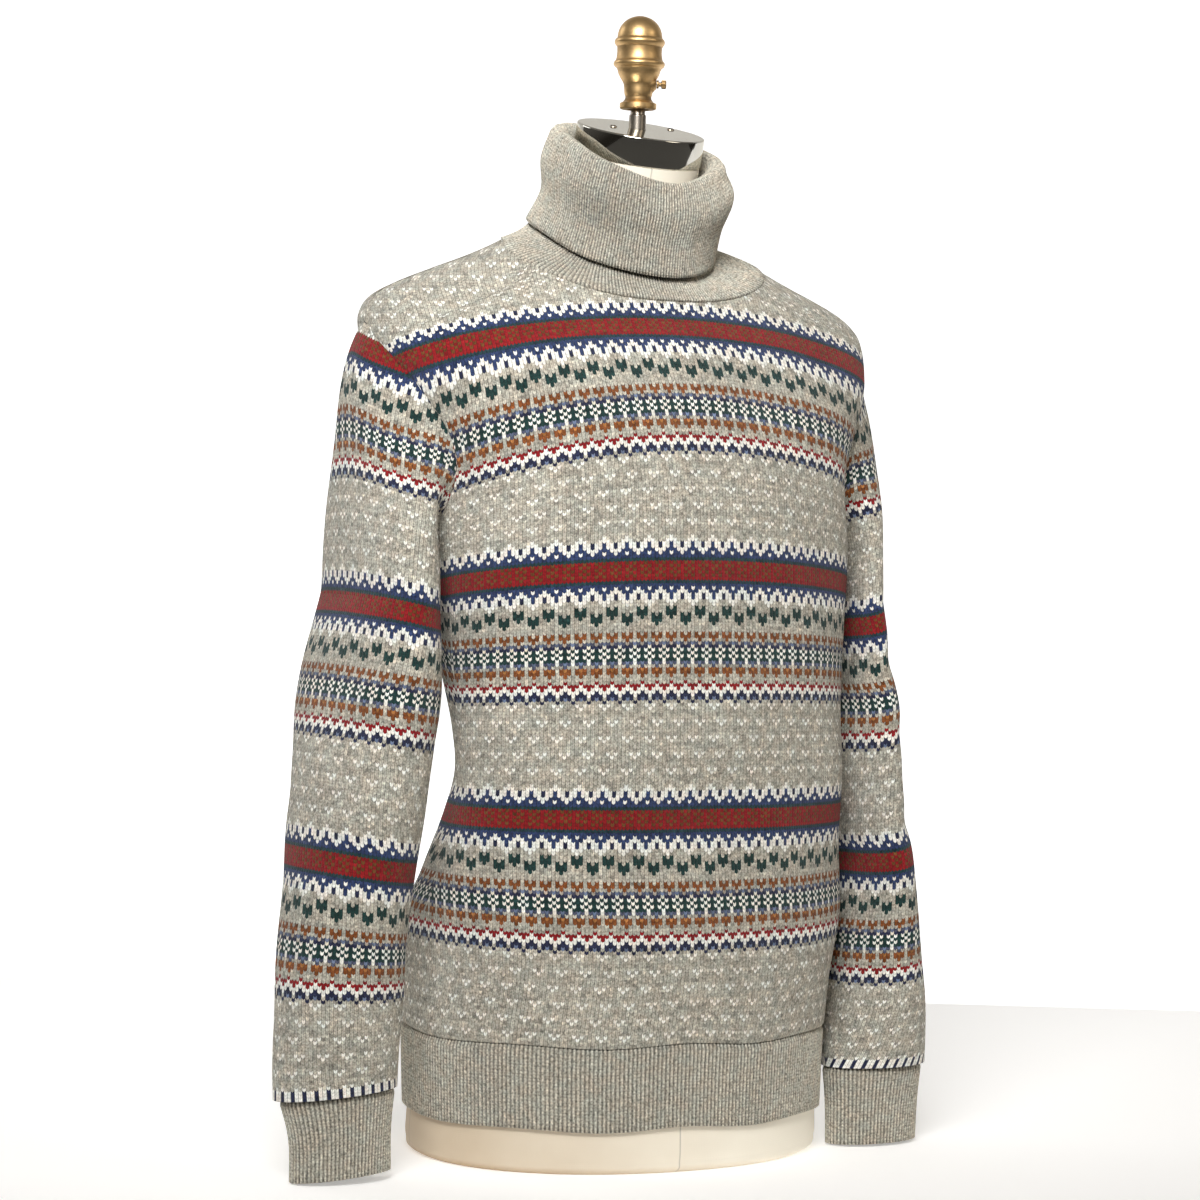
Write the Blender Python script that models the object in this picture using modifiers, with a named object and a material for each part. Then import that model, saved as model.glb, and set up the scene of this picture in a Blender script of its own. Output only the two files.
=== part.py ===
# A knitted turtleneck sweater worn on a limbless tailor's dress form.
# Metres, +Z up. The front faces -Y and the wearer's right side is -X.
# The origin is the middle of the form's flat underside.

import math
from collections import namedtuple

import bpy
import numpy as np

GAP = 0.0003
KNIT_WALL = 0.003
RIB_WALL = 0.0022
RIB_RISE = 0.0008

HEM_BOTTOM = 0.035
HEM_SEAM = 0.100
HEM_RIBS = 120
HEM_WAVE = 0.0012
HEM_WAVES = 5
HEM_WAVE_TURN = 0.6
COLLAR_RIBS = 48
CUFF_RIBS = 32

ARMPIT_HEIGHT = 0.500
SHOULDER_TIP_HEIGHT = 0.660
ARMHOLE_INSET_FRONT = 0.040
ARMHOLE_INSET_BACK = 0.052
ARMHOLE_MIDDLE = (ARMPIT_HEIGHT + SHOULDER_TIP_HEIGHT) / 2
ARMHOLE_REACH = (SHOULDER_TIP_HEIGHT - ARMPIT_HEIGHT) / 2
ARMHOLE_CURVE = 0.7
SIDE_SHARING = 0.012
TIP_BEND = math.radians(20)
ARMPIT_BEND = math.radians(88)
BEND_CURVE = 1.2
CAP_START_PULL = 0.28
CAP_END_PULL = 0.34
NECK_CURVE = 2.6
NECK_SIDE_HEIGHT = 0.732
NECK_FRONT_HEIGHT = 0.685
NECK_BACK_HEIGHT = 0.736

LEVEL_HEIGHT = 0.600

# How much each cuff rises across the wrist, by the side it is on: -1 is the right arm.
CUFF_LEANS = {-1: 0.085, 1: 0.02}
LEAN_DIRECTION = (math.cos(math.radians(30)), -math.sin(math.radians(30)))
LEAN_BOTTOM = 0.080
LEAN_TOP = 0.240

PANEL_COLUMNS = 16
ROWS_BELOW_ARMHOLE = 9
ROWS_ABOVE_ARMHOLE = 4
SLEEVE_SIDES = 24
CAP_ROWS = 6
ARM_ROWS = 10

NECK_TILT = math.radians(14)
CAP_TOP = 0.825
CAP_HEIGHT = 0.024
CAP_RADIUS = 0.0525
CAP_EDGE = 0.0012
NECK_RADIUS = 0.0512
NECK_FOOT_RADIUS = 0.054
NECK_AXIS_Y = 0.0058
POLE_Y = 0.006
POLE_RADIUS = 0.006
POLE_TOP = 0.871
POLE_EDGE = 0.0005
POLE_SLEEVE_HEIGHT = 0.009
POLE_SLEEVE_WALL = 0.001
FINIAL_BOTTOM = 0.8418
SCREW_HEIGHT = 0.8628
SCREW_TURN = math.radians(-30)

# The sweater's outer surface on the body, cut level at each height.
Section = namedtuple("Section", "height half_width front back centre squareness")
BODY = (
    Section(0.034, 0.1760, 0.1370, 0.1350, 0.002, 2.15),
    Section(0.100, 0.1780, 0.1400, 0.1390, 0.003, 2.15),
    Section(0.163, 0.1800, 0.1440, 0.1440, -0.004, 2.15),
    Section(0.194, 0.1810, 0.1400, 0.1380, -0.008, 2.15),
    Section(0.227, 0.1775, 0.1220, 0.1200, -0.020, 2.15),
    Section(0.276, 0.1720, 0.1000, 0.1000, -0.038, 2.15),
    Section(0.309, 0.1685, 0.0950, 0.0960, -0.045, 2.15),
    Section(0.341, 0.1695, 0.0990, 0.1010, -0.041, 2.15),
    Section(0.407, 0.1760, 0.1080, 0.1100, -0.028, 2.15),
    Section(0.480, 0.1820, 0.1150, 0.1150, -0.016, 2.20),
    Section(0.553, 0.1880, 0.1150, 0.1150, -0.006, 2.25),
    Section(0.600, 0.2070, 0.1130, 0.1050, 0.009, 2.35),
    Section(0.630, 0.2210, 0.1100, 0.0960, 0.022, 2.35),
    Section(0.655, 0.2280, 0.1050, 0.0860, 0.033, 2.30),
    Section(0.668, 0.2260, 0.1020, 0.0800, 0.038, 2.25),
    Section(0.683, 0.2130, 0.0990, 0.0740, 0.043, 2.10),
    Section(0.695, 0.1890, 0.0970, 0.0690, 0.045, 2.00),
    Section(0.705, 0.1640, 0.0960, 0.0660, 0.046, 1.95),
    Section(0.720, 0.1270, 0.0900, 0.0600, 0.042, 1.90),
    Section(0.737, 0.0945, 0.0840, 0.0570, 0.037, 1.90),
    Section(0.755, 0.0780, 0.0800, 0.0560, 0.032, 1.95),
)

# The canvas form inside it, which narrows to flat arm plates and a leaning neck.
TORSO = (
    Section(0.0000, 0.1655, 0.1265, 0.1245, 0.002, 2.15),
    Section(0.0025, 0.1700, 0.1310, 0.1290, 0.002, 2.15),
    Section(0.0090, 0.1720, 0.1325, 0.1305, 0.002, 2.15),
    Section(0.0340, 0.1720, 0.1325, 0.1305, 0.002, 2.15),
    Section(0.1000, 0.1735, 0.1350, 0.1335, 0.003, 2.15),
    Section(0.1630, 0.1750, 0.1375, 0.1370, -0.004, 2.15),
    Section(0.1940, 0.1750, 0.1330, 0.1285, -0.008, 2.15),
    Section(0.2270, 0.1710, 0.1160, 0.1105, -0.020, 2.15),
    Section(0.2760, 0.1655, 0.0935, 0.0915, -0.038, 2.15),
    Section(0.3090, 0.1620, 0.0885, 0.0885, -0.045, 2.15),
    Section(0.3410, 0.1630, 0.0925, 0.0935, -0.041, 2.15),
    Section(0.4070, 0.1695, 0.1015, 0.1035, -0.028, 2.15),
    Section(0.4800, 0.1755, 0.1090, 0.1090, -0.016, 2.20),
    Section(0.5530, 0.1800, 0.1085, 0.1085, -0.006, 2.25),
    Section(0.6000, 0.1870, 0.1050, 0.0980, 0.009, 2.25),
    Section(0.6300, 0.1890, 0.1010, 0.0880, 0.022, 2.20),
    Section(0.6550, 0.1840, 0.0940, 0.0770, 0.033, 2.10),
    Section(0.6700, 0.1710, 0.0880, 0.0690, 0.038, 2.00),
    Section(0.6850, 0.1430, 0.0810, 0.0610, 0.039, 1.95),
    Section(0.7000, 0.1000, 0.0690, 0.0540, 0.036, 1.95),
    Section(0.7160, 0.0660, 0.0570, 0.0500, 0.030, 2.00),
    Section(0.7350, 0.0570, 0.0535, 0.0535, 0.0225, 2.00),
)

# Level cuts through each sleeve below its cap, down to the cuff's seam.
Ring = namedtuple("Ring", "height centre_x centre_y half_x half_y")
SLEEVE_RIGHT = (
    Ring(0.445, -0.2190, 0.010, 0.0330, 0.0830),
    Ring(0.363, -0.2360, -0.005, 0.0460, 0.0790),
    Ring(0.287, -0.2495, -0.022, 0.0470, 0.0700),
    Ring(0.242, -0.2590, -0.032, 0.0480, 0.0620),
    Ring(0.190, -0.2675, -0.043, 0.0495, 0.0520),
    Ring(0.137, -0.2740, -0.052, 0.0500, 0.0440),
    Ring(0.092, -0.2790, -0.059, 0.0500, 0.0380),
    Ring(0.068, -0.2800, -0.062, 0.0500, 0.0320),
)
SLEEVE_LEFT = (
    Ring(0.445, 0.2035, 0.010, 0.0180, 0.0770),
    Ring(0.363, 0.2030, -0.005, 0.0235, 0.0840),
    Ring(0.279, 0.2085, -0.022, 0.0260, 0.0730),
    Ring(0.230, 0.2125, -0.034, 0.0270, 0.0690),
    Ring(0.180, 0.2140, -0.045, 0.0325, 0.0610),
    Ring(0.115, 0.2125, -0.055, 0.0410, 0.0520),
    Ring(0.083, 0.2110, -0.060, 0.0450, 0.0410),
    Ring(0.066, 0.2095, -0.064, 0.0465, 0.0330),
)
CUFF_RIGHT = (
    Ring(0.0677, -0.2785, -0.062, 0.0470, 0.0290),
    Ring(0.0400, -0.2755, -0.062, 0.0420, 0.0250),
    Ring(0.0045, -0.2745, -0.063, 0.0415, 0.0220),
)
CUFF_LEFT = (
    Ring(0.0657, 0.2085, -0.064, 0.0450, 0.0300),
    Ring(0.0380, 0.2075, -0.066, 0.0430, 0.0250),
    Ring(0.0030, 0.2070, -0.067, 0.0420, 0.0225),
)

# Soft creases in a sleeve: depth is how far the cloth sinks or, if negative, swells.
Crease = namedtuple("Crease", "height turn length width depth slope")
CREASES_RIGHT = (
    Crease(0.405, 1.10, 0.75, 0.016, 0.0040, 0.030),
    Crease(0.345, 0.55, 0.65, 0.014, 0.0035, -0.020),
    Crease(0.318, 1.55, 0.60, 0.013, 0.0035, 0.018),
    Crease(0.250, 0.90, 0.70, 0.013, 0.0030, 0.015),
    Crease(0.360, 4.40, 0.80, 0.015, 0.0035, -0.025),
    Crease(0.270, 4.90, 0.70, 0.014, 0.0030, 0.020),
)
CREASES_LEFT = (
    Crease(0.395, 1.30, 0.70, 0.016, 0.0035, -0.028),
    Crease(0.330, 0.80, 0.65, 0.014, 0.0035, 0.020),
    Crease(0.262, 1.20, 0.70, 0.013, 0.0030, -0.015),
    Crease(0.350, 4.60, 0.80, 0.015, 0.0035, 0.022),
    Crease(0.280, 4.20, 0.70, 0.014, 0.0030, -0.020),
)

# The turtleneck around the neck: angle 0 is the front, 180 the back.
# Swell, waist and flare are how far the flap stands out at its top, middle and edge.
NeckPoint = namedtuple("NeckPoint", "angle fold_top flap_bottom swell waist flare")
COLLAR = (
    NeckPoint(0, 0.781, 0.7030, 0.0065, 0.0050, 0.0080),
    NeckPoint(45, 0.794, 0.7140, 0.0090, 0.0040, 0.0030),
    NeckPoint(90, 0.811, 0.7400, 0.0095, 0.0035, 0.0025),
    NeckPoint(135, 0.827, 0.7540, 0.0065, 0.0020, 0.0060),
    NeckPoint(180, 0.832, 0.7570, 0.0055, 0.0015, 0.0080),
    NeckPoint(225, 0.830, 0.7550, 0.0040, 0.0005, 0.0090),
    NeckPoint(270, 0.818, 0.7400, 0.0040, 0.0005, 0.0085),
    NeckPoint(315, 0.795, 0.7140, 0.0050, 0.0020, 0.0075),
)
STAND_RADIUS = 0.0610
FOLD_RADIUS = 0.0055
FOLD_STEPS = 5
SEAM_LIFT = 0.0013
SEAM_TUCK = 0.0010
FOOT_TUCK = 0.0055
FOOT_DROP = 0.0035
STAND_SPREAD = 0.0025
STAND_LIFT = 0.012
SWELL_SHARE = 0.25
WAIST_SHARE = 0.65

# The turned finial, from its dome down to its foot: height above the foot and radius.
Turning = namedtuple("Turning", "height radius")
FINIAL = (
    Turning(0.0764, 0.0000),
    Turning(0.0758, 0.0050),
    Turning(0.0735, 0.0105),
    Turning(0.0690, 0.0152),
    Turning(0.0635, 0.0178),
    Turning(0.0585, 0.0184),
    Turning(0.0570, 0.0200),
    Turning(0.0548, 0.0208),
    Turning(0.0527, 0.0200),
    Turning(0.0510, 0.0186),
    Turning(0.0455, 0.0182),
    Turning(0.0400, 0.0190),
    Turning(0.0388, 0.0206),
    Turning(0.0366, 0.0212),
    Turning(0.0345, 0.0200),
    Turning(0.0335, 0.0180),
    Turning(0.0280, 0.0166),
    Turning(0.0225, 0.0132),
    Turning(0.0205, 0.0120),
    Turning(0.0125, 0.0116),
    Turning(0.0095, 0.0102),
    Turning(0.0062, 0.0122),
    Turning(0.0050, 0.0150),
    Turning(0.0012, 0.0150),
    Turning(0.0000, 0.0138),
    Turning(0.0000, 0.0066),
    Turning(0.0310, 0.0066),
    Turning(0.0312, 0.0000),
)

# The clamp screw, from its end to its start: distance from the rod's axis and radius.
SCREW = (
    Turning(0.0224, 0.0000),
    Turning(0.0224, 0.0030),
    Turning(0.0218, 0.0036),
    Turning(0.0190, 0.0036),
    Turning(0.0184, 0.0030),
    Turning(0.0184, 0.0018),
    Turning(0.0164, 0.0018),
    Turning(0.0164, 0.0032),
    Turning(0.0147, 0.0032),
    Turning(0.0147, 0.0000),
)

# How far a knitted row sinks from the middle of the body to its side.
RowDrop = namedtuple("RowDrop", "height drop")
ROW_DROPS = (
    RowDrop(0.100, 0.000),
    RowDrop(0.275, 0.002),
    RowDrop(0.470, 0.018),
    RowDrop(0.600, 0.030),
)

ARC_SAMPLES = 96
SEAM_SAMPLES = 60
NUDGE = 0.002
TURN_NUDGE = 0.02
SMOOTH_ANGLE = math.radians(50)


def clear_scene():
    for obj in list(bpy.data.objects):
        bpy.data.objects.remove(obj)


def make_collection(name):
    collection = bpy.data.collections.new(name)
    bpy.context.scene.collection.children.link(collection)
    return collection


def make_material(name, colour, roughness, metallic=0.0):
    material = bpy.data.materials.new(name)
    material.use_nodes = True
    shader = material.node_tree.nodes["Principled BSDF"]
    shader.inputs["Base Color"].default_value = (*colour, 1)
    shader.inputs["Roughness"].default_value = roughness
    shader.inputs["Metallic"].default_value = metallic
    return material


def smooth(at, knots, values):
    """A smooth curve through the values, with level-headed slopes between uneven knots."""
    knots = np.asarray(knots, float)
    values = np.asarray(values, float)
    steps = np.diff(knots)
    rises = np.diff(values) / steps
    slopes = np.empty_like(values)
    slopes[1:-1] = (rises[:-1] * steps[1:] + rises[1:] * steps[:-1]) / (steps[:-1] + steps[1:])
    slopes[0] = rises[0]
    slopes[-1] = rises[-1]
    at = np.clip(np.asarray(at, float), knots[0], knots[-1])
    i = np.clip(np.searchsorted(knots, at, side="right") - 1, 0, len(steps) - 1)
    t = (at - knots[i]) / steps[i]
    start = (1 + 2 * t) * (1 - t) ** 2
    end = t * t * (3 - 2 * t)
    lean_in = t * (1 - t) ** 2
    lean_out = t * t * (t - 1)
    bent = lean_in * slopes[i] + lean_out * slopes[i + 1]
    return start * values[i] + end * values[i + 1] + steps[i] * bent


def column(rows, name):
    return [getattr(row, name) for row in rows]


def section_at(rows, height):
    heights = column(rows, "height")
    names = ("half_width", "front", "back", "centre", "squareness")
    return [smooth(height, heights, column(rows, name)) for name in names]


def half_section(height, side):
    """Points of the body's level cut, from the middle of the front or back round to +X."""
    half_width, front, back, centre, squareness = section_at(BODY, height)
    turn = np.linspace(0, math.pi / 2, ARC_SAMPLES)
    across = half_width * np.sin(turn) ** (2 / squareness)
    depth = front if side < 0 else back
    out = depth * np.cos(turn) ** (2 / squareness)
    points = np.stack([across, centre + side * out, np.full_like(across, height)], axis=1)
    lengths = np.linalg.norm(np.diff(points, axis=0), axis=1)
    return points, np.concatenate([[0], np.cumsum(lengths)])


def half_girth(height, side):
    return half_section(height, side)[1][-1]


def on_body(offset, height, side):
    """The point at a distance round the cloth from the middle line; +X is positive."""
    points, lengths = half_section(height, side)
    reach = min(abs(offset), lengths[-1])
    place = np.array([np.interp(reach, lengths, points[:, axis]) for axis in range(3)])
    if offset < 0:
        place[0] = -place[0]
    return place


def body_normal(offset, height, side):
    """The direction straight out of the body there, found from its neighbours."""
    reach = half_girth(height, side) - NUDGE
    offset = min(max(offset, -reach), reach)
    along = on_body(offset + NUDGE, height, side) - on_body(offset - NUDGE, height, side)
    up = on_body(offset, height + NUDGE, side) - on_body(offset, height - NUDGE, side)
    normal = np.cross(along, up)
    if normal[1] * side < 0:
        normal = -normal
    return normal / np.linalg.norm(normal)


def armhole_share(height):
    """0 at the armpit and at the shoulder tip, and 1 between them."""
    share = (height - ARMPIT_HEIGHT) / (SHOULDER_TIP_HEIGHT - ARMPIT_HEIGHT)
    if not 0 < share < 1:
        return 0.0
    return math.sin(math.pi * share) ** ARMHOLE_CURVE


def armhole_inset(height, side):
    widest = ARMHOLE_INSET_FRONT if side < 0 else ARMHOLE_INSET_BACK
    return widest * armhole_share(height)


def edge_normal(height, side, end):
    """Front and back share this on the side line, so that their edges face each other."""
    inset = armhole_inset(height, side)
    offset = end * (half_girth(height, side) - inset)
    own = body_normal(offset, height, side)
    other = body_normal(end * half_girth(height, -side), height, -side)
    shared = own + other
    shared /= np.linalg.norm(shared)
    mix = min(1.0, inset / SIDE_SHARING)
    normal = own * mix + shared * (1 - mix)
    return normal / np.linalg.norm(normal)


def grid_faces(rows, columns, closed):
    """Quads of a grid of points that is counted row by row."""
    faces = []
    last = columns if closed else columns - 1
    for row in range(rows - 1):
        for col in range(last):
            right = (col + 1) % columns
            below = row * columns
            above = below + columns
            faces.append((below + col, below + right, above + right, above + col))
    return faces


def rim_faces(ring, inner_start, closed):
    """Quads that join an outer border to the inner border with the same order."""
    pairs = list(zip(ring, ring[1:] + ring[:1]))
    if not closed:
        pairs = pairs[:-1]
    return [(a, a + inner_start, b + inner_start, b) for a, b in pairs]


def make_shell(name, outer, inner, closed, material, collection):
    """A solid wall between two grids of points with the same rows and columns."""
    outer = np.asarray(outer, float)
    inner = np.asarray(inner, float)
    rows, columns = outer.shape[:2]
    count = rows * columns
    points = np.concatenate([outer.reshape(-1, 3), inner.reshape(-1, 3)])
    skin = grid_faces(rows, columns, closed)
    faces = list(skin)
    faces += [tuple(corner + count for corner in reversed(face)) for face in skin]
    bottom = list(range(columns))
    top = [(rows - 1) * columns + i for i in range(columns)]
    if closed:
        faces += rim_faces(bottom, count, True)
        faces += [tuple(reversed(face)) for face in rim_faces(top, count, True)]
    else:
        right = [row * columns + columns - 1 for row in range(rows)]
        left = [row * columns for row in range(rows)]
        border = bottom + right[1:] + top[::-1][1:] + left[::-1][1:-1]
        faces += rim_faces(border, count, True)
    return make_object(name, points, faces, material, collection)


def make_object(name, points, faces, material, collection):
    mesh = bpy.data.meshes.new(name)
    mesh.from_pydata([tuple(point) for point in points], [], faces)
    mesh.validate()
    mesh.materials.append(material)
    mesh.shade_smooth()
    mesh.set_sharp_from_angle(angle=SMOOTH_ANGLE)
    mesh.update()
    if signed_volume(points, faces) < 0:
        mesh.flip_normals()
    obj = bpy.data.objects.new(name, mesh)
    collection.objects.link(obj)
    return obj


def signed_volume(points, faces):
    total = 0.0
    for face in faces:
        for i in range(1, len(face) - 1):
            corner = [points[face[0]], points[face[i]], points[face[i + 1]]]
            total += np.dot(corner[0], np.cross(corner[1], corner[2]))
    return total


def row_drop(height):
    return smooth(height, column(ROW_DROPS, "height"), column(ROW_DROPS, "drop"))


def panel_heights(side):
    """Heights of the panel's rows at its middle and at its side edge."""
    neck = NECK_FRONT_HEIGHT if side < 0 else NECK_BACK_HEIGHT
    low = np.linspace(HEM_SEAM, ARMPIT_HEIGHT, ROWS_BELOW_ARMHOLE + 1)[:-1]
    high = np.linspace(SHOULDER_TIP_HEIGHT, NECK_SIDE_HEIGHT, ROWS_ABOVE_ARMHOLE + 1)[1:]
    half_turn = sleeve_turns()[: SLEEVE_SIDES // 2 + 1]
    edge = np.concatenate([low, loop_height(half_turn)[::-1], high])
    blend = np.clip((edge - LEVEL_HEIGHT) / (NECK_SIDE_HEIGHT - LEVEL_HEIGHT), 0, 1)
    start = LEVEL_HEIGHT + row_drop(LEVEL_HEIGHT)
    above = start + (neck - start) * blend
    middle = np.where(edge < LEVEL_HEIGHT, edge + row_drop(edge), above)
    return middle, edge


def make_panel(name, side, material, collection):
    """The front or back, from the hem's seam to the shoulders and the neck."""
    middle, edge = panel_heights(side)
    shares = np.linspace(-1, 1, PANEL_COLUMNS + 1)
    outer = []
    inner = []
    for mid_height, edge_height in zip(middle, edge):
        reach = half_girth(edge_height, side) - armhole_inset(edge_height, side) - GAP / 2
        outer_row = []
        inner_row = []
        for share in shares:
            height = mid_height + (edge_height - mid_height) * abs(share) ** NECK_CURVE
            offset = share * reach
            place = on_body(offset, height, side)
            wall = KNIT_WALL * body_normal(offset, height, side)
            if abs(share) == 1:
                wall = edge_wall(edge_height, side, share)
            outer_row.append(place)
            inner_row.append(place - wall)
        outer.append(outer_row)
        inner.append(inner_row)
    return make_shell(name, outer, inner, False, material, collection)


def sleeve_turns():
    return np.arange(SLEEVE_SIDES) * 2 * math.pi / SLEEVE_SIDES


def loop_height(turn):
    return ARMHOLE_MIDDLE + ARMHOLE_REACH * np.cos(turn)


def loop_point(turn, end):
    """A point on the cut edge of the armhole and the body's outward direction there."""
    side = -1 if math.sin(turn) >= 0 else 1
    height = float(loop_height(turn))
    offset = half_girth(height, side) - armhole_inset(height, side)
    return on_body(end * offset, height, side), edge_normal(height, side, end)


def seam_bend(turn):
    """How far the sleeve turns away from the body's surface at its seam."""
    low = (1 - math.cos(turn)) / 2
    return TIP_BEND + (ARMPIT_BEND - TIP_BEND) * low**BEND_CURVE


def seam_frame(turn, end):
    """The seam's point, the way into the armhole along the body, and the way out."""
    place, normal = loop_point(turn, end)
    along = loop_point(turn + TURN_NUDGE, end)[0] - loop_point(turn - TURN_NUDGE, end)[0]
    inward = np.cross(normal, along)
    inward /= np.linalg.norm(inward)
    hole = on_body(end * half_girth(ARMHOLE_MIDDLE, 1), ARMHOLE_MIDDLE, 1)
    if np.dot(inward, hole - place) < 0:
        inward = -inward
    return place, inward, normal


def edge_wall(height, side, end):
    """From the panel's edge to its inner edge, leaned so that panel and sleeve meet."""
    normal = edge_normal(height, side, end)
    if not ARMPIT_HEIGHT - 1e-6 < height < SHOULDER_TIP_HEIGHT + 1e-6:
        return KNIT_WALL * normal
    share = (height - ARMHOLE_MIDDLE) / ARMHOLE_REACH
    turn = math.acos(min(1.0, max(-1.0, share))) * -side
    inward = seam_frame(turn, end)[1]
    return KNIT_WALL * (normal - math.tan(seam_bend(turn) / 2) * inward)


def crease_depth(creases, height, turn):
    total = 0.0
    for crease in creases:
        away = (turn - crease.turn + math.pi) % (2 * math.pi) - math.pi
        level = crease.height + crease.slope * away
        across = (height - level) / crease.width
        along = away / crease.length
        total += crease.depth * math.exp(-across * across - along * along)
    return total


def leaned(places, seam, end):
    """Raises the lowest part of a sleeve and its cuff towards one side of the wrist."""
    level = np.clip((LEAN_TOP - places[..., 2]) / (LEAN_TOP - LEAN_BOTTOM), 0, 1)
    share = level * level * (3 - 2 * level)
    away_x = places[..., 0] - seam.centre_x
    away_y = places[..., 1] - seam.centre_y
    across = LEAN_DIRECTION[0] * away_x + LEAN_DIRECTION[1] * away_y
    raised = places.copy()
    raised[..., 2] += CUFF_LEANS[end] * share * across
    return raised


def sleeve_ring(rings, creases, height, end):
    """A level cut through the hanging sleeve; turn 0 is outwards and a quarter is the front."""
    heights = column(rings, "height")[::-1]
    names = ("centre_x", "centre_y", "half_x", "half_y")
    centre_x, centre_y, half_x, half_y = [
        smooth(height, heights, column(rings, name)[::-1]) for name in names
    ]
    places = []
    for turn in sleeve_turns():
        sink = crease_depth(creases, height, turn)
        x = centre_x + end * (half_x - sink) * math.cos(turn)
        y = centre_y - (half_y - sink) * math.sin(turn)
        places.append((x, y, height))
    return np.array(places)


def curve_between(start, start_pull, end_pull, end, share):
    back = 1 - share
    return (
        start * back**3
        + start_pull * 3 * back**2 * share
        + end_pull * 3 * back * share**2
        + end * share**3
    )


def sleeve_grid(rings, creases, end):
    """Rows of the sleeve from its armhole down, and the wall's direction at each point."""
    frames = [seam_frame(turn, end) for turn in sleeve_turns()]
    bends = np.array([seam_bend(turn) for turn in sleeve_turns()])[:, None]
    inwards = np.array([frame[1] for frame in frames])
    normals = np.array([frame[2] for frame in frames])
    facing = inwards * np.cos(bends / 2) + normals * np.sin(bends / 2)
    loop = np.array([frame[0] for frame in frames]) + GAP * facing
    loop_walls = KNIT_WALL * (normals - np.tan(bends / 2) * inwards)
    spread = np.sin(sleeve_turns())[:, None] ** 2
    along = inwards * (1, 0, 1) + inwards * (0, 1, 0) * spread
    leaving = along * np.cos(bends) + normals * np.sin(bends)
    top = rings[0].height
    bottom = rings[-1].height
    ring = sleeve_ring(rings, creases, top, end)
    drop = loop[:, 2:3] - top
    start_pull = loop + CAP_START_PULL * drop * leaving
    end_pull = ring + np.array([0.0, 0.0, CAP_END_PULL]) * drop
    grid = [curve_between(loop, start_pull, end_pull, ring, i / CAP_ROWS) for i in range(CAP_ROWS)]
    for height in np.linspace(top, bottom, ARM_ROWS + 1):
        grid.append(sleeve_ring(rings, creases, height, end))
    return np.array(grid), loop_walls


def grid_normals(grid):
    """Outward directions of a closed grid, from the differences of its points."""
    along = np.roll(grid, -1, axis=1) - np.roll(grid, 1, axis=1)
    down = np.gradient(grid, axis=0)
    normals = np.cross(along, down)
    normals /= np.linalg.norm(normals, axis=2, keepdims=True)
    last = np.sum(normals[-1] * (grid[-1] - grid[-1].mean(axis=0)))
    return normals if last > 0 else -normals


def make_sleeve(name, rings, creases, end, material, collection):
    grid, loop_walls = sleeve_grid(rings, creases, end)
    normals = grid_normals(grid)
    normals[-1] = normals[-1] * (1, 1, 0)
    normals[-1] /= np.linalg.norm(normals[-1], axis=1, keepdims=True)
    inner = grid - KNIT_WALL * normals
    inner[0] = grid[0] - loop_walls
    grid = leaned(grid, rings[-1], end)
    inner = leaned(inner, rings[-1], end)
    return make_shell(name, grid, inner, True, material, collection)


def ring_points(centre_x, centre_y, half_x, half_y, height, count):
    turns = np.arange(count) * 2 * math.pi / count
    x = centre_x + half_x * np.cos(turns)
    y = centre_y + half_y * np.sin(turns)
    return np.stack([x, y, np.full(count, height)], axis=1)


def make_cuff(name, rings, seam, end, material, collection):
    count = 2 * CUFF_RIBS
    outer = []
    inner = []
    rise = np.where(np.arange(count) % 2 == 0, 0.0, RIB_RISE)
    for ring in rings:
        plain = ring_points(*ring[1:], ring.height, count)
        middle = np.array([ring.centre_x, ring.centre_y, ring.height])
        away = plain - middle
        away /= np.linalg.norm(away, axis=1, keepdims=True)
        outer.append(leaned(plain - away * rise[:, None], seam, end))
        inner.append(leaned(plain - away * (RIB_WALL + RIB_RISE), seam, end))
    return make_shell(name, outer, inner, True, material, collection)


def body_ring(rows, height, count):
    """A whole level cut with points an even distance apart."""
    half_width, front, back, centre, squareness = section_at(rows, height)
    turns = np.linspace(0, 2 * math.pi, 8 * count + 1)
    cosine = np.cos(turns)
    sine = np.sin(turns)
    depth = np.where(sine < 0, front, back)
    x = half_width * np.sign(cosine) * np.abs(cosine) ** (2 / squareness)
    y = centre + depth * np.sign(sine) * np.abs(sine) ** (2 / squareness)
    steps = np.hypot(np.diff(x), np.diff(y))
    lengths = np.concatenate([[0], np.cumsum(steps)])
    at = np.arange(count) * lengths[-1] / count
    x_even = np.interp(at, lengths, x)
    y_even = np.interp(at, lengths, y)
    return np.stack([x_even, y_even, np.full(count, height)], axis=1)


def level_normals(ring):
    along = np.roll(ring, -1, axis=0) - np.roll(ring, 1, axis=0)
    normals = np.stack([along[:, 1], -along[:, 0], np.zeros(len(ring))], axis=1)
    return normals / np.linalg.norm(normals, axis=1, keepdims=True)


def make_hem(material, collection):
    """The ribbed band, whose bottom edge waves a little."""
    count = 2 * HEM_RIBS
    sink = np.where(np.arange(count) % 2 == 0, 0.0, RIB_RISE)[:, None]
    turns = np.arange(count) * 2 * math.pi / count
    wave = HEM_WAVE * np.sin(HEM_WAVES * turns + HEM_WAVE_TURN)
    outer = []
    inner = []
    for height in (HEM_BOTTOM, HEM_SEAM - GAP):
        ring = body_ring(BODY, height, count)
        if height == HEM_BOTTOM:
            ring[:, 2] += wave
        normals = level_normals(ring)
        outer.append(ring - normals * sink)
        inner.append(ring - normals * (RIB_WALL + RIB_RISE))
    return make_shell("hem_rib", outer, inner, True, material, collection)


def neck_centre(height):
    """The leaning neck's middle at a height, which moves back on the way down."""
    return NECK_AXIS_Y + (CAP_TOP - CAP_HEIGHT - height) * math.tan(NECK_TILT)


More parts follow.
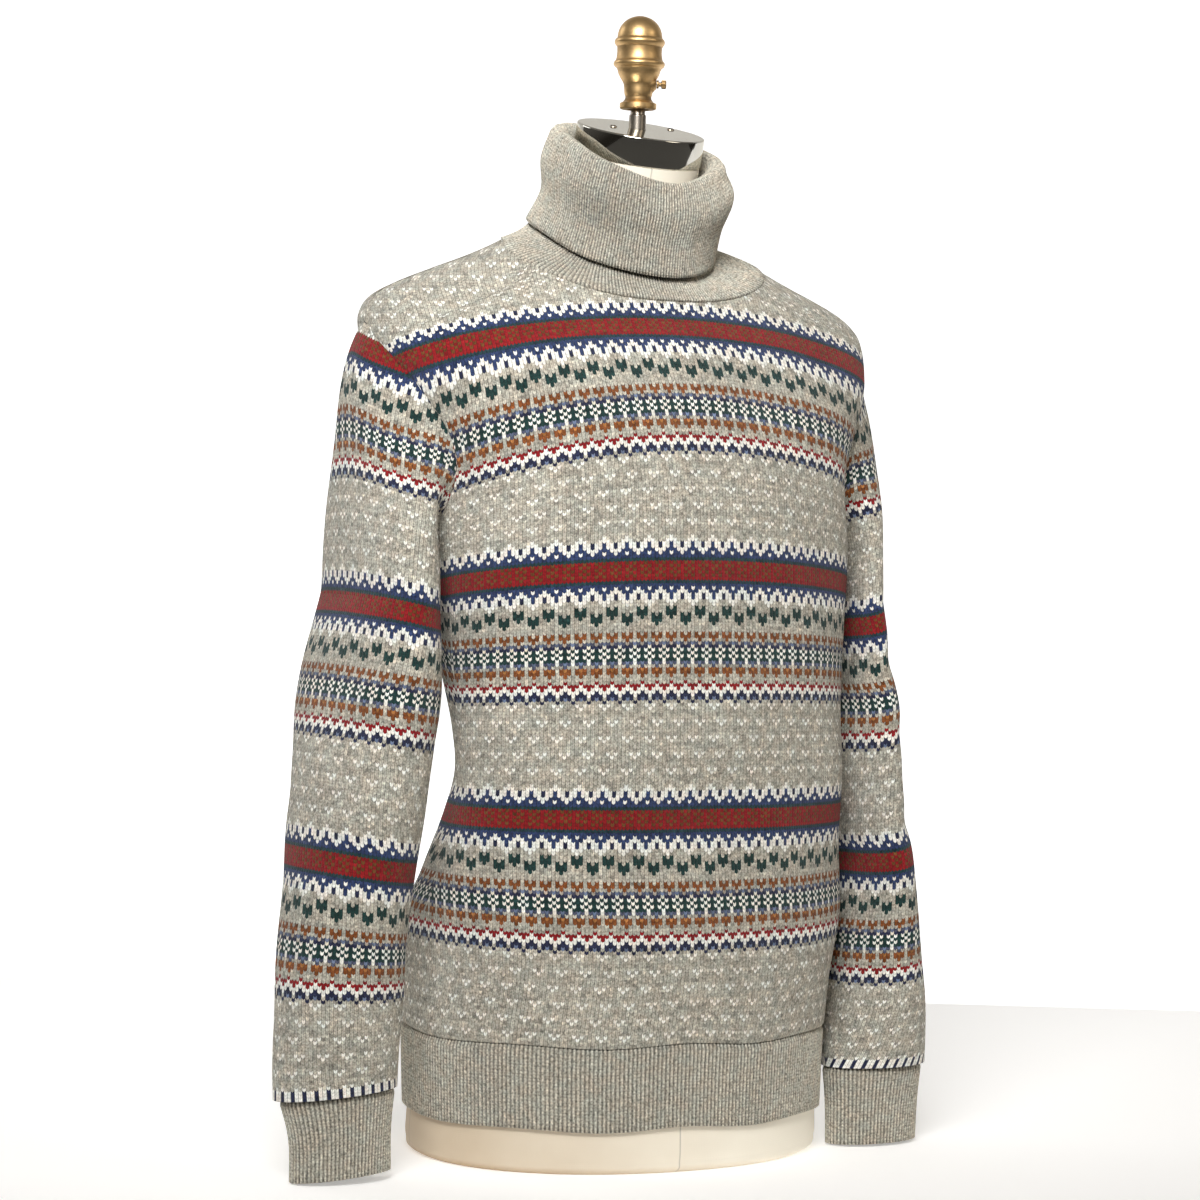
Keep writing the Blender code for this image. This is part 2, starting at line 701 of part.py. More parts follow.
def neck_seam(angle):
    """Where the collar's stand meets the panels: a point on the body and its height."""
    direction = np.array([math.sin(angle), -math.cos(angle)])
    side = -1 if math.cos(angle) >= 0 else 1
    neck = NECK_FRONT_HEIGHT if side < 0 else NECK_BACK_HEIGHT
    top = half_girth(NECK_SIDE_HEIGHT, side)
    offsets = np.linspace(0, top, SEAM_SAMPLES)
    heights = neck + (NECK_SIDE_HEIGHT - neck) * (offsets / top) ** NECK_CURVE
    places = np.array([on_body(o, h, side) for o, h in zip(offsets, heights)])
    places[:, 0] *= 1 if direction[0] >= 0 else -1
    centre = neck_centre(NECK_SIDE_HEIGHT)
    bearing = np.arctan2(np.abs(places[:, 0]), side * (places[:, 1] - centre))
    wanted = math.atan2(abs(direction[0]), abs(direction[1]))
    order = np.argsort(bearing)
    return np.array([np.interp(wanted, bearing[order], places[order, i]) for i in range(3)])


def collar_seam(count):
    """The seam's points round the neck, with the corner at each shoulder eased."""
    seam = np.array([neck_seam(2 * math.pi * i / count) for i in range(count)])
    for shift in (1, 2, 3):
        seam = (np.roll(seam, shift, axis=0) + seam + np.roll(seam, -shift, axis=0)) / 3
    return seam


def round_neck(angle, name):
    """A value of the collar's table, read smoothly all the way round."""
    angles = [COLLAR[-1].angle - 360, *column(COLLAR, "angle"), 360, 360 + COLLAR[1].angle]
    values = column(COLLAR, name)
    return smooth(math.degrees(angle) % 360, angles, [values[-1], *values, *values[:2]])


def collar_profile(angle, seam):
    """The cloth's path at one angle: up from the neck seam, over, and down the flap."""
    names = ("fold_top", "flap_bottom", "swell", "waist", "flare")
    fold_top, flap_bottom, swell, waist, flare = [round_neck(angle, name) for name in names]
    direction = np.array([math.sin(angle), -math.cos(angle), 0.0])
    seam_lift = np.array([0.0, 0.0, SEAM_LIFT]) - direction * SEAM_TUCK
    fold_height = fold_top - FOLD_RADIUS - KNIT_WALL / 2

    def around(radius, height):
        return direction * radius + np.array([0.0, neck_centre(height), height])

    flap_radius = STAND_RADIUS + 2 * FOLD_RADIUS
    path = [seam + seam_lift]
    path.append(around(flap_radius + flare - FOOT_TUCK, flap_bottom - FOOT_DROP))
    path.append(around(STAND_RADIUS + STAND_SPREAD, flap_bottom + STAND_LIFT))
    for turn in np.linspace(math.pi, 0, FOLD_STEPS):
        radius = STAND_RADIUS + FOLD_RADIUS * (1 + math.cos(turn))
        path.append(around(radius, fold_height + FOLD_RADIUS * math.sin(turn)))
    drop = fold_height - flap_bottom
    path.append(around(flap_radius + swell, fold_height - SWELL_SHARE * drop))
    path.append(around(flap_radius + waist, fold_height - WAIST_SHARE * drop))
    path.append(around(flap_radius + flare, flap_bottom))
    return np.array(path), direction


def make_collar(material, collection):
    """One ribbed tube that stands up from the neck seam and folds down over itself."""
    count = 2 * COLLAR_RIBS
    seams = collar_seam(count)
    outer = []
    inner = []
    for i in range(count):
        path, direction = collar_profile(2 * math.pi * i / count, seams[i])
        rise = RIB_RISE if i % 2 else 0.0
        along = np.gradient(path, axis=0)
        side = np.cross(direction, [0.0, 0.0, 1.0])
        across = np.cross(side, along)
        across /= np.linalg.norm(across, axis=1, keepdims=True)
        flip = -1 if np.dot(across[0], direction) < 0 else 1
        half = RIB_WALL / 2
        outer.append(path + flip * across * (half + rise))
        inner.append(path - flip * across * half)
    outer = np.array(outer).transpose(1, 0, 2)
    inner = np.array(inner).transpose(1, 0, 2)
    return make_shell("collar", outer, inner, True, material, collection)


def make_torso(material, collection):
    """Level cuts up to the shoulders, then rings that lean with the neck."""
    count = 32
    rings = [body_ring(TORSO, row.height, count) for row in TORSO]
    top_height = CAP_TOP - CAP_HEIGHT * math.cos(NECK_TILT) - GAP
    tilt = math.tan(NECK_TILT)
    turns = np.arange(count) * 2 * math.pi / count
    for share in (0.35, 0.7, 1.0):
        height = TORSO[-1].height + (top_height - TORSO[-1].height) * share
        radius = NECK_FOOT_RADIUS + (NECK_RADIUS - NECK_FOOT_RADIUS) * share
        x = radius * np.cos(turns)
        y = radius * np.sin(turns)
        centre = neck_centre(height)
        rings.append(np.stack([x, centre + y, height + y * tilt * share], axis=1))
    points = np.concatenate(rings)
    faces = grid_faces(len(rings), count, True)
    faces.append(tuple(range(count))[::-1])
    last = (len(rings) - 1) * count
    faces.append(tuple(last + i for i in range(count)))
    return make_object("form_torso", points, faces, material, collection)


def make_turned(name, profile, sides, material, collection):
    """A turned solid: its profile runs down the outside, from axis to axis."""
    mesh = bpy.data.meshes.new(name)
    edges = [(i, i + 1) for i in range(len(profile) - 1)]
    mesh.from_pydata([(radius, 0, height) for height, radius in profile], edges, [])
    mesh.materials.append(material)
    obj = bpy.data.objects.new(name, mesh)
    collection.objects.link(obj)
    screw = obj.modifiers.new("turned", "SCREW")
    screw.steps = sides
    screw.render_steps = sides
    screw.use_merge_vertices = True
    screw.merge_threshold = 0.00001
    screw.use_smooth_shade = True
    return obj


def make_cap(material, collection):
    """The polished disc, tilted with the neck; its origin is on its underside."""
    profile = (
        (CAP_HEIGHT, 0.0),
        (CAP_HEIGHT, CAP_RADIUS - CAP_EDGE),
        (CAP_HEIGHT - CAP_EDGE, CAP_RADIUS),
        (CAP_EDGE, CAP_RADIUS),
        (0.0, CAP_RADIUS - CAP_EDGE),
        (0.0, 0.0),
    )
    cap = make_turned("form_neck_cap", profile, 40, material, collection)
    bottom = CAP_TOP - CAP_HEIGHT * math.cos(NECK_TILT)
    cap.location = (0, neck_centre(CAP_TOP - CAP_HEIGHT), bottom)
    cap.rotation_euler = (NECK_TILT, 0, 0)
    return cap


def make_pole(material, collection):
    """The steel rod, with a wider sleeve where it leaves the disc."""
    cap_y = neck_centre(CAP_TOP - CAP_HEIGHT) - CAP_HEIGHT * math.sin(NECK_TILT)
    surface = CAP_TOP + (POLE_Y - cap_y) * math.tan(NECK_TILT)
    sleeve_radius = POLE_RADIUS + POLE_SLEEVE_WALL
    foot = surface + sleeve_radius * math.tan(NECK_TILT) + GAP
    sleeve_top = foot + POLE_SLEEVE_HEIGHT
    profile = (
        (POLE_TOP, 0.0),
        (POLE_TOP, POLE_RADIUS - POLE_EDGE),
        (POLE_TOP - POLE_EDGE, POLE_RADIUS),
        (sleeve_top, POLE_RADIUS),
        (sleeve_top, sleeve_radius),
        (foot, sleeve_radius),
        (foot, 0.0),
    )
    pole = make_turned("form_pole", profile, 24, material, collection)
    pole.location = (0, POLE_Y, 0)
    return pole


def make_finial(material, collection):
    """The turned finial, bored from below so that it slips over the rod."""
    finial = make_turned("form_finial", FINIAL, 20, material, collection)
    finial.location = (0, POLE_Y, FINIAL_BOTTOM)
    return finial


def make_thumbscrew(material, collection):
    """The clamp screw: a boss that meets the finial's waist, a shank and a knurled head."""
    screw = make_turned("form_thumbscrew", SCREW, 20, material, collection)
    screw.location = (0, POLE_Y, SCREW_HEIGHT)
    screw.rotation_euler = (0, math.pi / 2, SCREW_TURN)
    return screw


def main():
    clear_scene()
    collection = make_collection("turtleneck_on_form")
    knit = make_material("grey_knit", (0.36, 0.35, 0.32), 0.95)
    pattern = make_material("patterned_knit", (0.40, 0.37, 0.34), 0.95)
    canvas = make_material("cream_canvas", (0.80, 0.72, 0.55), 0.85)
    chrome = make_material("polished_chrome", (0.80, 0.80, 0.82), 0.08, 1.0)
    steel = make_material("brushed_steel", (0.55, 0.53, 0.50), 0.35, 1.0)
    brass = make_material("aged_brass", (0.72, 0.52, 0.24), 0.35, 1.0)

    make_panel("front", -1, pattern, collection)
    make_panel("back", 1, pattern, collection)
    make_sleeve("sleeve_right", SLEEVE_RIGHT, CREASES_RIGHT, -1, pattern, collection)
    make_sleeve("sleeve_left", SLEEVE_LEFT, CREASES_LEFT, 1, pattern, collection)
    make_collar(knit, collection)
    make_hem(knit, collection)
    make_cuff("cuff_right", CUFF_RIGHT, SLEEVE_RIGHT[-1], -1, knit, collection)
    make_cuff("cuff_left", CUFF_LEFT, SLEEVE_LEFT[-1], 1, knit, collection)
    make_torso(canvas, collection)
    make_cap(chrome, collection)
    make_pole(steel, collection)
    make_finial(brass, collection)
    make_thumbscrew(brass, collection)


main()
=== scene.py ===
import math

import bpy
import numpy as np
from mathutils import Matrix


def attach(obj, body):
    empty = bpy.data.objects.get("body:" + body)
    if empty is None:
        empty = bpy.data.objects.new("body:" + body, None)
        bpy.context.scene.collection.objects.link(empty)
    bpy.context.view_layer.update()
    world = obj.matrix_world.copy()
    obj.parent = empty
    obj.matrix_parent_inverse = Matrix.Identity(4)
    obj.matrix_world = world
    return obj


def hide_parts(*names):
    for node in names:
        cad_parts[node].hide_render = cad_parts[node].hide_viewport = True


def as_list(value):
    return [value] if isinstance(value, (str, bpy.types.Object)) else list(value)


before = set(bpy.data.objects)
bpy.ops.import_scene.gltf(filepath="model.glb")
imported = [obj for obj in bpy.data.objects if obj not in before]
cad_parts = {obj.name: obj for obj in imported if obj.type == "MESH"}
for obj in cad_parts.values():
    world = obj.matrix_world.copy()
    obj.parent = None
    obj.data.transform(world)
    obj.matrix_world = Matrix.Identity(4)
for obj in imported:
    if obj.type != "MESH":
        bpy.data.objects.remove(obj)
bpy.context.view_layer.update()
print("frame loaded")

# The front faces -Y and the wearer's right side is -X, as in the frame.

stitchWidth = 0.00306
rowHeight = 0.00252
vSlant = 0.5  # how far a stitch's edges ride up, in rows
wallThickness = 0.003
ribWall = 0.0022
bandWall = 0.0015
ribShape = np.array([0.0, 0.62, 1.0, 0.62])  # a rib's height across its four faces
hemSeam = 0.1
levelHeights = 0.65  # below this the rows are counted straight up
capRows = 40
knurlDepth = 0.00032
circle = 2 * math.pi
upright = (0.0, 0.0, 1.0)


def metres(rows, *others):  # a table in millimetres, but for the columns named
    return [tuple(v if i in others else v / 1000 for i, v in enumerate(row)) for row in rows]


body = {
    "armpit": 0.5, "shoulderTip": 0.66, "insetFront": 0.04, "insetBack": 0.052, "neckSide": 0.732,
    "neckFront": 0.685, "neckBack": 0.736, "neckCurve": 2.6, "halfSpan": 0.287, "spareTop": 0.06,
    "hemTuck": 0.0016, "sharedInset": 0.012,
    # height, half width, front depth, back depth, centre, squareness
    "sections": metres((
        (34, 176, 137, 135, 2, 2.15), (100, 178, 140, 139, 3, 2.15), (163, 180, 144, 144, -4, 2.15),
        (194, 181, 140, 138, -8, 2.15), (227, 177.5, 122, 120, -20, 2.15), (276, 172, 100, 100, -38, 2.15),
        (309, 168.5, 95, 96, -45, 2.15), (341, 169.5, 99, 101, -41, 2.15), (407, 176, 108, 110, -28, 2.15),
        (480, 182, 115, 115, -16, 2.2), (553, 188, 115, 115, -6, 2.25), (600, 207, 113, 105, 9, 2.35),
        (630, 221, 110, 96, 22, 2.35), (655, 228, 105, 86, 33, 2.3), (668, 226, 102, 80, 38, 2.25),
        (683, 213, 99, 74, 43, 2.1), (695, 189, 97, 69, 45, 2), (705, 164, 96, 66, 46, 1.95),
        (720, 127, 90, 60, 42, 1.9), (737, 94.5, 84, 57, 37, 1.9), (755, 78, 80, 56, 32, 1.95),
    ), 5),
    # how far a row sinks from the middle to the side, by height
    "droop": ((0.1, 0.275, 0.47, 0.64), (0.0, 0.002, 0.02, 0.05)),
}

torso = {
    "sections": metres((
        (0, 165.5, 126.5, 124.5, 2, 2.15), (2.5, 170, 131, 129, 2, 2.15), (9, 172, 132.5, 130.5, 2, 2.15),
        (34, 172, 132.5, 130.5, 2, 2.15), (100, 173.5, 135, 133.5, 3, 2.15),
        (163, 175, 137.5, 137, -4, 2.15), (194, 175, 133, 128.5, -8, 2.15),
        (227, 171, 116, 110.5, -20, 2.15), (276, 165.5, 93.5, 91.5, -38, 2.15),
        (309, 162, 88.5, 88.5, -45, 2.15), (341, 163, 92.5, 93.5, -41, 2.15),
        (407, 169.5, 101.5, 103.5, -28, 2.15), (480, 175.5, 109, 109, -16, 2.2),
        (553, 180, 108.5, 108.5, -6, 2.25), (600, 187, 105, 98, 9, 2.25), (630, 189, 101, 88, 22, 2.2),
        (655, 184, 94, 77, 33, 2.1), (670, 171, 88, 69, 38, 2), (685, 143, 81, 61, 39, 1.95),
        (700, 100, 69, 54, 36, 1.95), (716, 66, 57, 50, 30, 2), (735, 57, 53.5, 53.5, 22.5, 2),
    ), 5),
    "neckTilt": math.radians(14), "neckAxisY": 0.0058, "capTop": 0.825, "capHeight": 0.024,
    "neckFoot": 0.054, "neckRadius": 0.0512,
}

sleeve = {
    "tipBend": math.radians(20), "armpitBend": math.radians(88), "startPull": 0.28, "endPull": 0.34,
    "halfSpan": 0.205, "spareTop": 0.002, "topRise": 0.01,
    # height, centre x, centre y, half x, half y
    "rightRings": metres((
        (445, -219, 10, 33, 83), (363, -233.5, -5, 48.5, 81.5), (287, -248.5, -22, 48, 71),
        (242, -259, -32, 48, 62), (190, -267.5, -43, 49.5, 52), (137, -274, -52, 50, 44),
        (92, -279, -59, 50, 38), (68, -280, -62, 50, 32),
    )),
    "leftRings": metres((
        (445, 203.5, 10, 18, 77), (363, 203, -5, 23.5, 84), (279, 208.5, -22, 26, 73),
        (230, 212.5, -34, 27, 69), (180, 214, -45, 32.5, 61), (115, 212.5, -55, 41, 52),
        (83, 211, -60, 45, 41), (66, 209.5, -64, 46.5, 33),
    )),
    # height, turn, length, width, depth, slope
    "rightCreases": metres((
        (405, 1.1, 0.75, 16, 4, 30), (345, 0.55, 0.65, 14, 3.5, -20), (318, 1.55, 0.6, 13, 3.5, 18),
        (250, 0.9, 0.7, 13, 3, 15), (360, 4.4, 0.8, 15, 3.5, -25), (270, 4.9, 0.7, 14, 3, 20),
    ), 1, 2),
    "leftCreases": metres((
        (395, 1.3, 0.7, 16, 3.5, -28), (330, 0.8, 0.65, 14, 3.5, 20), (262, 1.2, 0.7, 13, 3, -15),
        (350, 4.6, 0.8, 15, 3.5, 22), (280, 4.2, 0.7, 14, 3, -20),
    ), 1, 2),
    "droop": ((0.064, 0.15, 0.25, 0.44, 0.6), (0.0, 0.009, 0.013, 0.016, 0.04)),
    # how far each wrist leans for each metre across the picture, and between which heights
    "leans": {-1: 0.085, 1: 0.02},
    "leanTurn": math.radians(-30), "leanHeights": (0.08, 0.24),
}

# soft waves of all the cloth: speeds along x, y and z, start and size
drape = {
    "waves": (
        (62.0, 20.0, 24.0, 0.3, 0.0008), (35.0, -50.0, 12.0, 1.7, 0.0007),
        (20.0, 30.0, -48.0, 4.0, 0.0007), (-48.0, 60.0, 60.0, 2.2, 0.0004),
    ),
    "heights": (0.105, 0.16, 0.64, 0.68), "hemWaves": ((7, 0.68, 0.0013), (4, 2.0, 0.0006)),
    "hemHeights": (0.105, 0.17),
}

# each yarn's colour and how strongly it is heathered
yarns = {
    "g": (0.44, 0.414, 0.355, 1.0), "w": (0.84, 0.82, 0.775, 0.4), "b": (0.03, 0.047, 0.12, 0.9),
    "n": (0.022, 0.026, 0.06, 0.9), "t": (0.018, 0.045, 0.052, 0.8), "G": (0.014, 0.04, 0.038, 0.8),
    "R": (0.245, 0.011, 0.014, 0.6), "o": (0.135, 0.052, 0.016, 0.7), "r": (0.205, 0.066, 0.021, 0.9),
    "s": (0.07, 0.078, 0.125, 0.9), "l": (0.14, 0.18, 0.29, 0.8), "q": (0.4, 0.345, 0.29, 0.8),
    "p": (0.4, 0.165, 0.05, 0.9), "c": (0.7, 0.665, 0.56, 0.5),
}

# The rows of a band, counted down from below its red stripe. Each repeats by itself.
bandRows = (
    "t", "b", "wbbwbb", "bbwwwb", "bwwnww", "bwwnww", "wwgggw", "wggggg",
    "gggGgGgg", "gggGGGgg", "gGgGGGgG", "GGggGggG", "GGgggggG", "Gggggggg", "g", "g",
    "grgr", "rrgr", "rggg", "qsls", "nncn", "GwGw", "GGwG", "GwGw", "GGwG",
    "lsws", "sggg", "prgr", "rrgr", "rggg", "g",
    "Rggg", "wRRR", "wwRw", "nwww", "nnwn", "lngn", "ggng",
)
redRows = ("oRoRRoRR", "RoRRoRoR", "oRoRRoRR", "RoRRoRoR", "oRoRRoRR", "RRRRRRRR")
bandPeriod = 77
lowestRed = 67
liceRows = ("gwgggw", "wggggg")
borderRow = "nww"


def rowPattern(row, endless):  # the letters that a knitted row repeats, and how far they are moved
    if endless and row < 3:
        return borderRow, 0
    if endless and row > lowestRed + 2 * bandPeriod + 5:
        return licePattern((row + 3) % 10)
    below = (lowestRed - row) % bandPeriod
    inLowestBand = row < lowestRed - len(bandRows)
    aboveTopBand = row > lowestRed + 2 * bandPeriod + 13 and not endless
    if inLowestBand or aboveTopBand:
        step = (lowestRed - row - 39) % 10 if inLowestBand else (-row - 6) % 10
        return licePattern(step)
    if below == 0:
        return redRows[5], 0
    if below <= len(bandRows):
        return bandRows[below - 1], 0
    if below >= bandPeriod - 5:
        return redRows[below - (bandPeriod - 5)], 0
    if below >= bandPeriod - 13:
        return bandRows[bandPeriod - 6 - below], 0
    return licePattern((below - 39) % 10)


def licePattern(step):
    if step % 5 > 1:
        return "g", 0
    return liceRows[step % 5], 4 if step >= 5 else 0


def smooth(at, knots, values):  # a smooth curve through the values at the knots
    knots, values = np.asarray(knots, float), np.asarray(values, float)
    steps = np.diff(knots).reshape(-1, *[1] * (values.ndim - 1))
    rises = np.diff(values, axis=0) / steps
    slopes = (rises[:-1] * steps[1:] + rises[1:] * steps[:-1]) / (steps[:-1] + steps[1:])
    slopes = np.concatenate([rises[:1], slopes, rises[-1:]])
    at = np.clip(at, knots[0], knots[-1])
    i = np.clip(np.searchsorted(knots, at, side="right") - 1, 0, len(steps) - 1)
    t = (at - knots[i]) / steps[i]
    start = (1 + 2 * t) * (1 - t) ** 2
    lean = t * (1 - t) ** 2 * slopes[i] + t * t * (t - 1) * slopes[i + 1]
    return start * values[i] + t * t * (3 - 2 * t) * values[i + 1] + steps[i] * lean


def columns(rows, at):  # every column of a table, smoothly at the heights asked for
    table = np.array(sorted(rows))
    return [smooth(at, table[:, 0], table[:, i]) for i in range(1, table.shape[1])]


def unit(vectors):
    return vectors / np.maximum(np.linalg.norm(vectors, axis=-1, keepdims=True), 1e-12)


def travelled(points):  # the distance along a line of points from the first to each
    steps = np.linalg.norm(np.diff(points, axis=0), axis=-1)
    return np.concatenate([0 * steps[:1], np.cumsum(steps, axis=0)])


def spaced(at, arc, points):  # the points at these distances along a line of points
    return np.stack([np.interp(at, arc, column) for column in points.T], axis=1)


class Surface:  # the front or back of the body, by distance round from its middle and by height

    def __init__(self, side):
        self.side = side
        self.inset = body["insetFront"] if side < 0 else body["insetBack"]
        self.neck = body["neckFront"] if side < 0 else body["neckBack"]
        self.heights = np.linspace(body["sections"][0][0], body["sections"][-1][0], 361)
        half, front, back, centre, square = columns(body["sections"], self.heights)
        turn = np.linspace(0, math.pi / 2, 241)[None, :]
        power = (2 / square)[:, None]
        depth = (front if side < 0 else back)[:, None]
        x = half[:, None] * np.sin(turn) ** power
        y = centre[:, None] + side * depth * np.cos(turn) ** power
        length = travelled(np.stack([x.T, y.T], axis=-1)).T
        self.girth = length[:, -1]
        shares = np.linspace(0, 1, 161)
        self.grids = [
            np.array([np.interp(shares * g, l, row) for g, l, row in zip(self.girth, length, grid)])
            for grid in (x, y)]
        arc = travelled(np.stack([self.grids[1][:, 72], self.heights], axis=1))
        above = arc - np.interp(levelHeights, self.heights, arc)
        self.rowAt = np.where(self.heights < levelHeights, self.heights, levelHeights + above)

    def reach(self, z):
        girth = np.interp(z, self.heights, self.girth)
        share = np.clip((z - body["armpit"]) / (body["shoulderTip"] - body["armpit"]), 0, 1)
        return girth, self.inset * np.sin(math.pi * share) ** 0.7

    def neckline(self, offset):  # the height of the neck's edge
        across = np.clip(np.abs(offset) / self.reach(body["neckSide"])[0], 0, 1)
        return self.neck + (body["neckSide"] - self.neck) * across ** body["neckCurve"]

    def at(self, offset, z):  # distances are negative on the -X side
        z = np.asarray(z, float)
        rows, cols = self.grids[0].shape
        row = np.clip((z - self.heights[0]) / (self.heights[1] - self.heights[0]), 0, rows - 1.001)
        girth = np.interp(z, self.heights, self.girth)
        col = np.clip(np.abs(offset) / girth, 0, 0.99999) * (cols - 1)
        i = row.astype(int)
        j = col.astype(int)
        u = row - i
        v = col - j
        place = []
        for grid in self.grids:
            low = grid[i, j] * (1 - v) + grid[i, j + 1] * v
            high = grid[i + 1, j] * (1 - v) + grid[i + 1, j + 1] * v
            place.append(low * (1 - u) + high * u)
        return np.stack([place[0] * np.sign(offset), place[1], z], axis=-1)

    def normal(self, offset, z):
        nudge = 0.002
        girth = np.interp(z, self.heights, self.girth) - nudge
        offset = np.clip(offset, -girth, girth)
        along = self.at(offset + nudge, z) - self.at(offset - nudge, z)
        up = self.at(offset, z + nudge) - self.at(offset, z - nudge)
        normal = np.cross(along, up)
        return unit(np.where(normal[..., 1:2] * self.side < 0, -normal, normal))

    def height(self, row, share):  # of a row coordinate, which droops towards the sides
        lift = np.interp(row, self.rowAt, self.heights)
        sink = smooth(lift, *body["droop"]) * share**2
        return np.interp(row - sink, self.rowAt, self.heights)


surfaces = {-1: Surface(-1), 1: Surface(1)}


def panelPoints(side, rowLine, offset):  # points of the front or back, cut to the panel
    surface = surfaces[side]
    row = hemSeam + rowLine * rowHeight
    girth, inset = surface.reach(np.interp(row, surface.rowAt, surface.heights))
    share = np.clip(np.abs(offset) / np.maximum(girth - inset, 0.01), 0, 1)
    z = np.minimum(np.maximum(surface.height(row, share), hemSeam), surface.neckline(offset))
    girth, inset = surface.reach(z)
    return surface.at(np.clip(offset, inset - girth, girth - inset), z)


def ramp(value, low, high):  # from 0 to 1 between two heights, gently
    share = np.clip((value - low) / (high - low), 0, 1)
    return share * share * (3 - 2 * share)


def draped(points):  # the same soft waves for all the cloth, so that the seams stay closed
    x, y, z = points[..., 0], points[..., 1], points[..., 2]
    low, rising, falling, high = drape["heights"]
    fade = ramp(z, low, rising) * (1 - ramp(z, falling, high))
    depth = 0.0
    for alongX, alongY, alongZ, start, size in drape["waves"]:
        depth = depth + size * np.sin(alongX * x + alongY * y + alongZ * z + start)
    out = unit(points * (1.0, 1.0, 0.0))
    moved = points + out * (depth * fade)[..., None]
    bearing = np.arctan2(y, x)
    for count, start, size in drape["hemWaves"]:
        moved[..., 2] += size * np.sin(count * bearing + start) * (1 - ramp(z, *drape["hemHeights"]))
    return moved


def addObject(name, data):
    obj = bpy.data.objects.new(name, data)
    bpy.context.scene.collection.objects.link(obj)
    return obj


def buildMesh(name, points, faces, material, rides="root", uv=None, yarn=None):  # leaves out empty faces
    points = np.asarray(points, float)
    faces = np.asarray(faces, int)
    diagonals = points[faces[:, 2]] - points[faces[:, 0]], points[faces[:, 3]] - points[faces[:, 1]]
    area = np.linalg.norm(np.cross(*diagonals), axis=1) / 2
    kept = area > 2e-8
    faces = faces[kept]
    used, index = np.unique(faces, return_inverse=True)
    index = index.reshape(faces.shape)
    mesh = bpy.data.meshes.new(name)
    mesh.vertices.add(len(used))
    mesh.vertices.foreach_set("co", points[used].ravel())
    mesh.loops.add(index.size)
    mesh.loops.foreach_set("vertex_index", index.ravel())
    mesh.polygons.add(len(index))
    mesh.polygons.foreach_set("loop_start", np.arange(len(index)) * 4)
    mesh.update(calc_edges=True)
    if uv is not None:
        layer = mesh.uv_layers.new(name="knit")
        layer.uv.foreach_set("vector", np.asarray(uv, float)[kept].ravel())
    if yarn is not None:
        values = mesh.attributes.new("yarn", "FLOAT_COLOR", "FACE")
        values.data.foreach_set("color", yarn[kept].ravel())
    mesh.shade_smooth()
    mesh.materials.append(material)
    obj = addObject(name, mesh)
    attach(obj, rides)
    return obj


def gridMesh(name, points, material, across=False, up=False, scale=None, start=0, rides="root", yarn=None):
    rows, cols = points.shape[:2]  # coordinates count on where the grid is closed, across or up
    r, c = np.meshgrid(np.arange(rows - (not up)), np.arange(cols - (not across)), indexing="ij")
    c = c.reshape(-1, 1) + np.array([0, 1, 1, 0])
    r = r.reshape(-1, 1) + np.array([0, 0, 1, 1])
    uv = None if scale is None else np.stack([(c + start) * scale[0], r * scale[1]], axis=2)
    return buildMesh(name, points.reshape(-1, 3), r % rows * cols + c % cols, material, rides, uv, yarn)


def stitchColours(rowCount, columnCount, firstColumn, endless, seed):  # of each half stitch
    scatter = np.random.default_rng(seed)
    stitch = (np.arange(columnCount) + firstColumn) // 2
    number = stitch - stitch.min()
    flecks = scatter.normal(0.0, 1.0, (rowCount, number.max() + 9))
    streaks = sum(np.roll(flecks, step, axis=1) for step in range(7)) / math.sqrt(7)
    colours = np.zeros((rowCount, columnCount, 4))
    for row in range(rowCount):
        letters, shift = rowPattern(row, endless)
        picked = np.array([yarns[letter] for letter in letters])
        colours[row] = picked[(stitch + shift) % len(letters)]
        uneven = (flecks[row] * 0.15 + streaks[row] * 0.03)[number + 7]
        colours[row, :, :3] *= np.clip(1 + uneven * colours[row, :, 3], 0.55, 1.5)[:, None]
    return colours.reshape(-1, 4)


def knitPiece(name, lineAt, rowCount, halfStitches, material, endless, seed):  # two faces to a stitch
    cols = 2 * halfStitches + 1
    rowLines = np.arange(rowCount + 1)
    odd = (np.arange(cols) - halfStitches) % 2
    low = np.array([lineAt(r) for r in rowLines])
    high = np.array([lineAt(r + vSlant) for r in rowLines])
    points = np.where(odd[None, :, None] == 1, high, low)
    points[[0, -1]] = low[[0, -1]]
    start = 1 - halfStitches
    yarn = stitchColours(rowCount, cols - 1, start, endless, seed)
    return gridMesh(name, draped(points), material, scale=(0.5, 1), start=start, yarn=yarn)


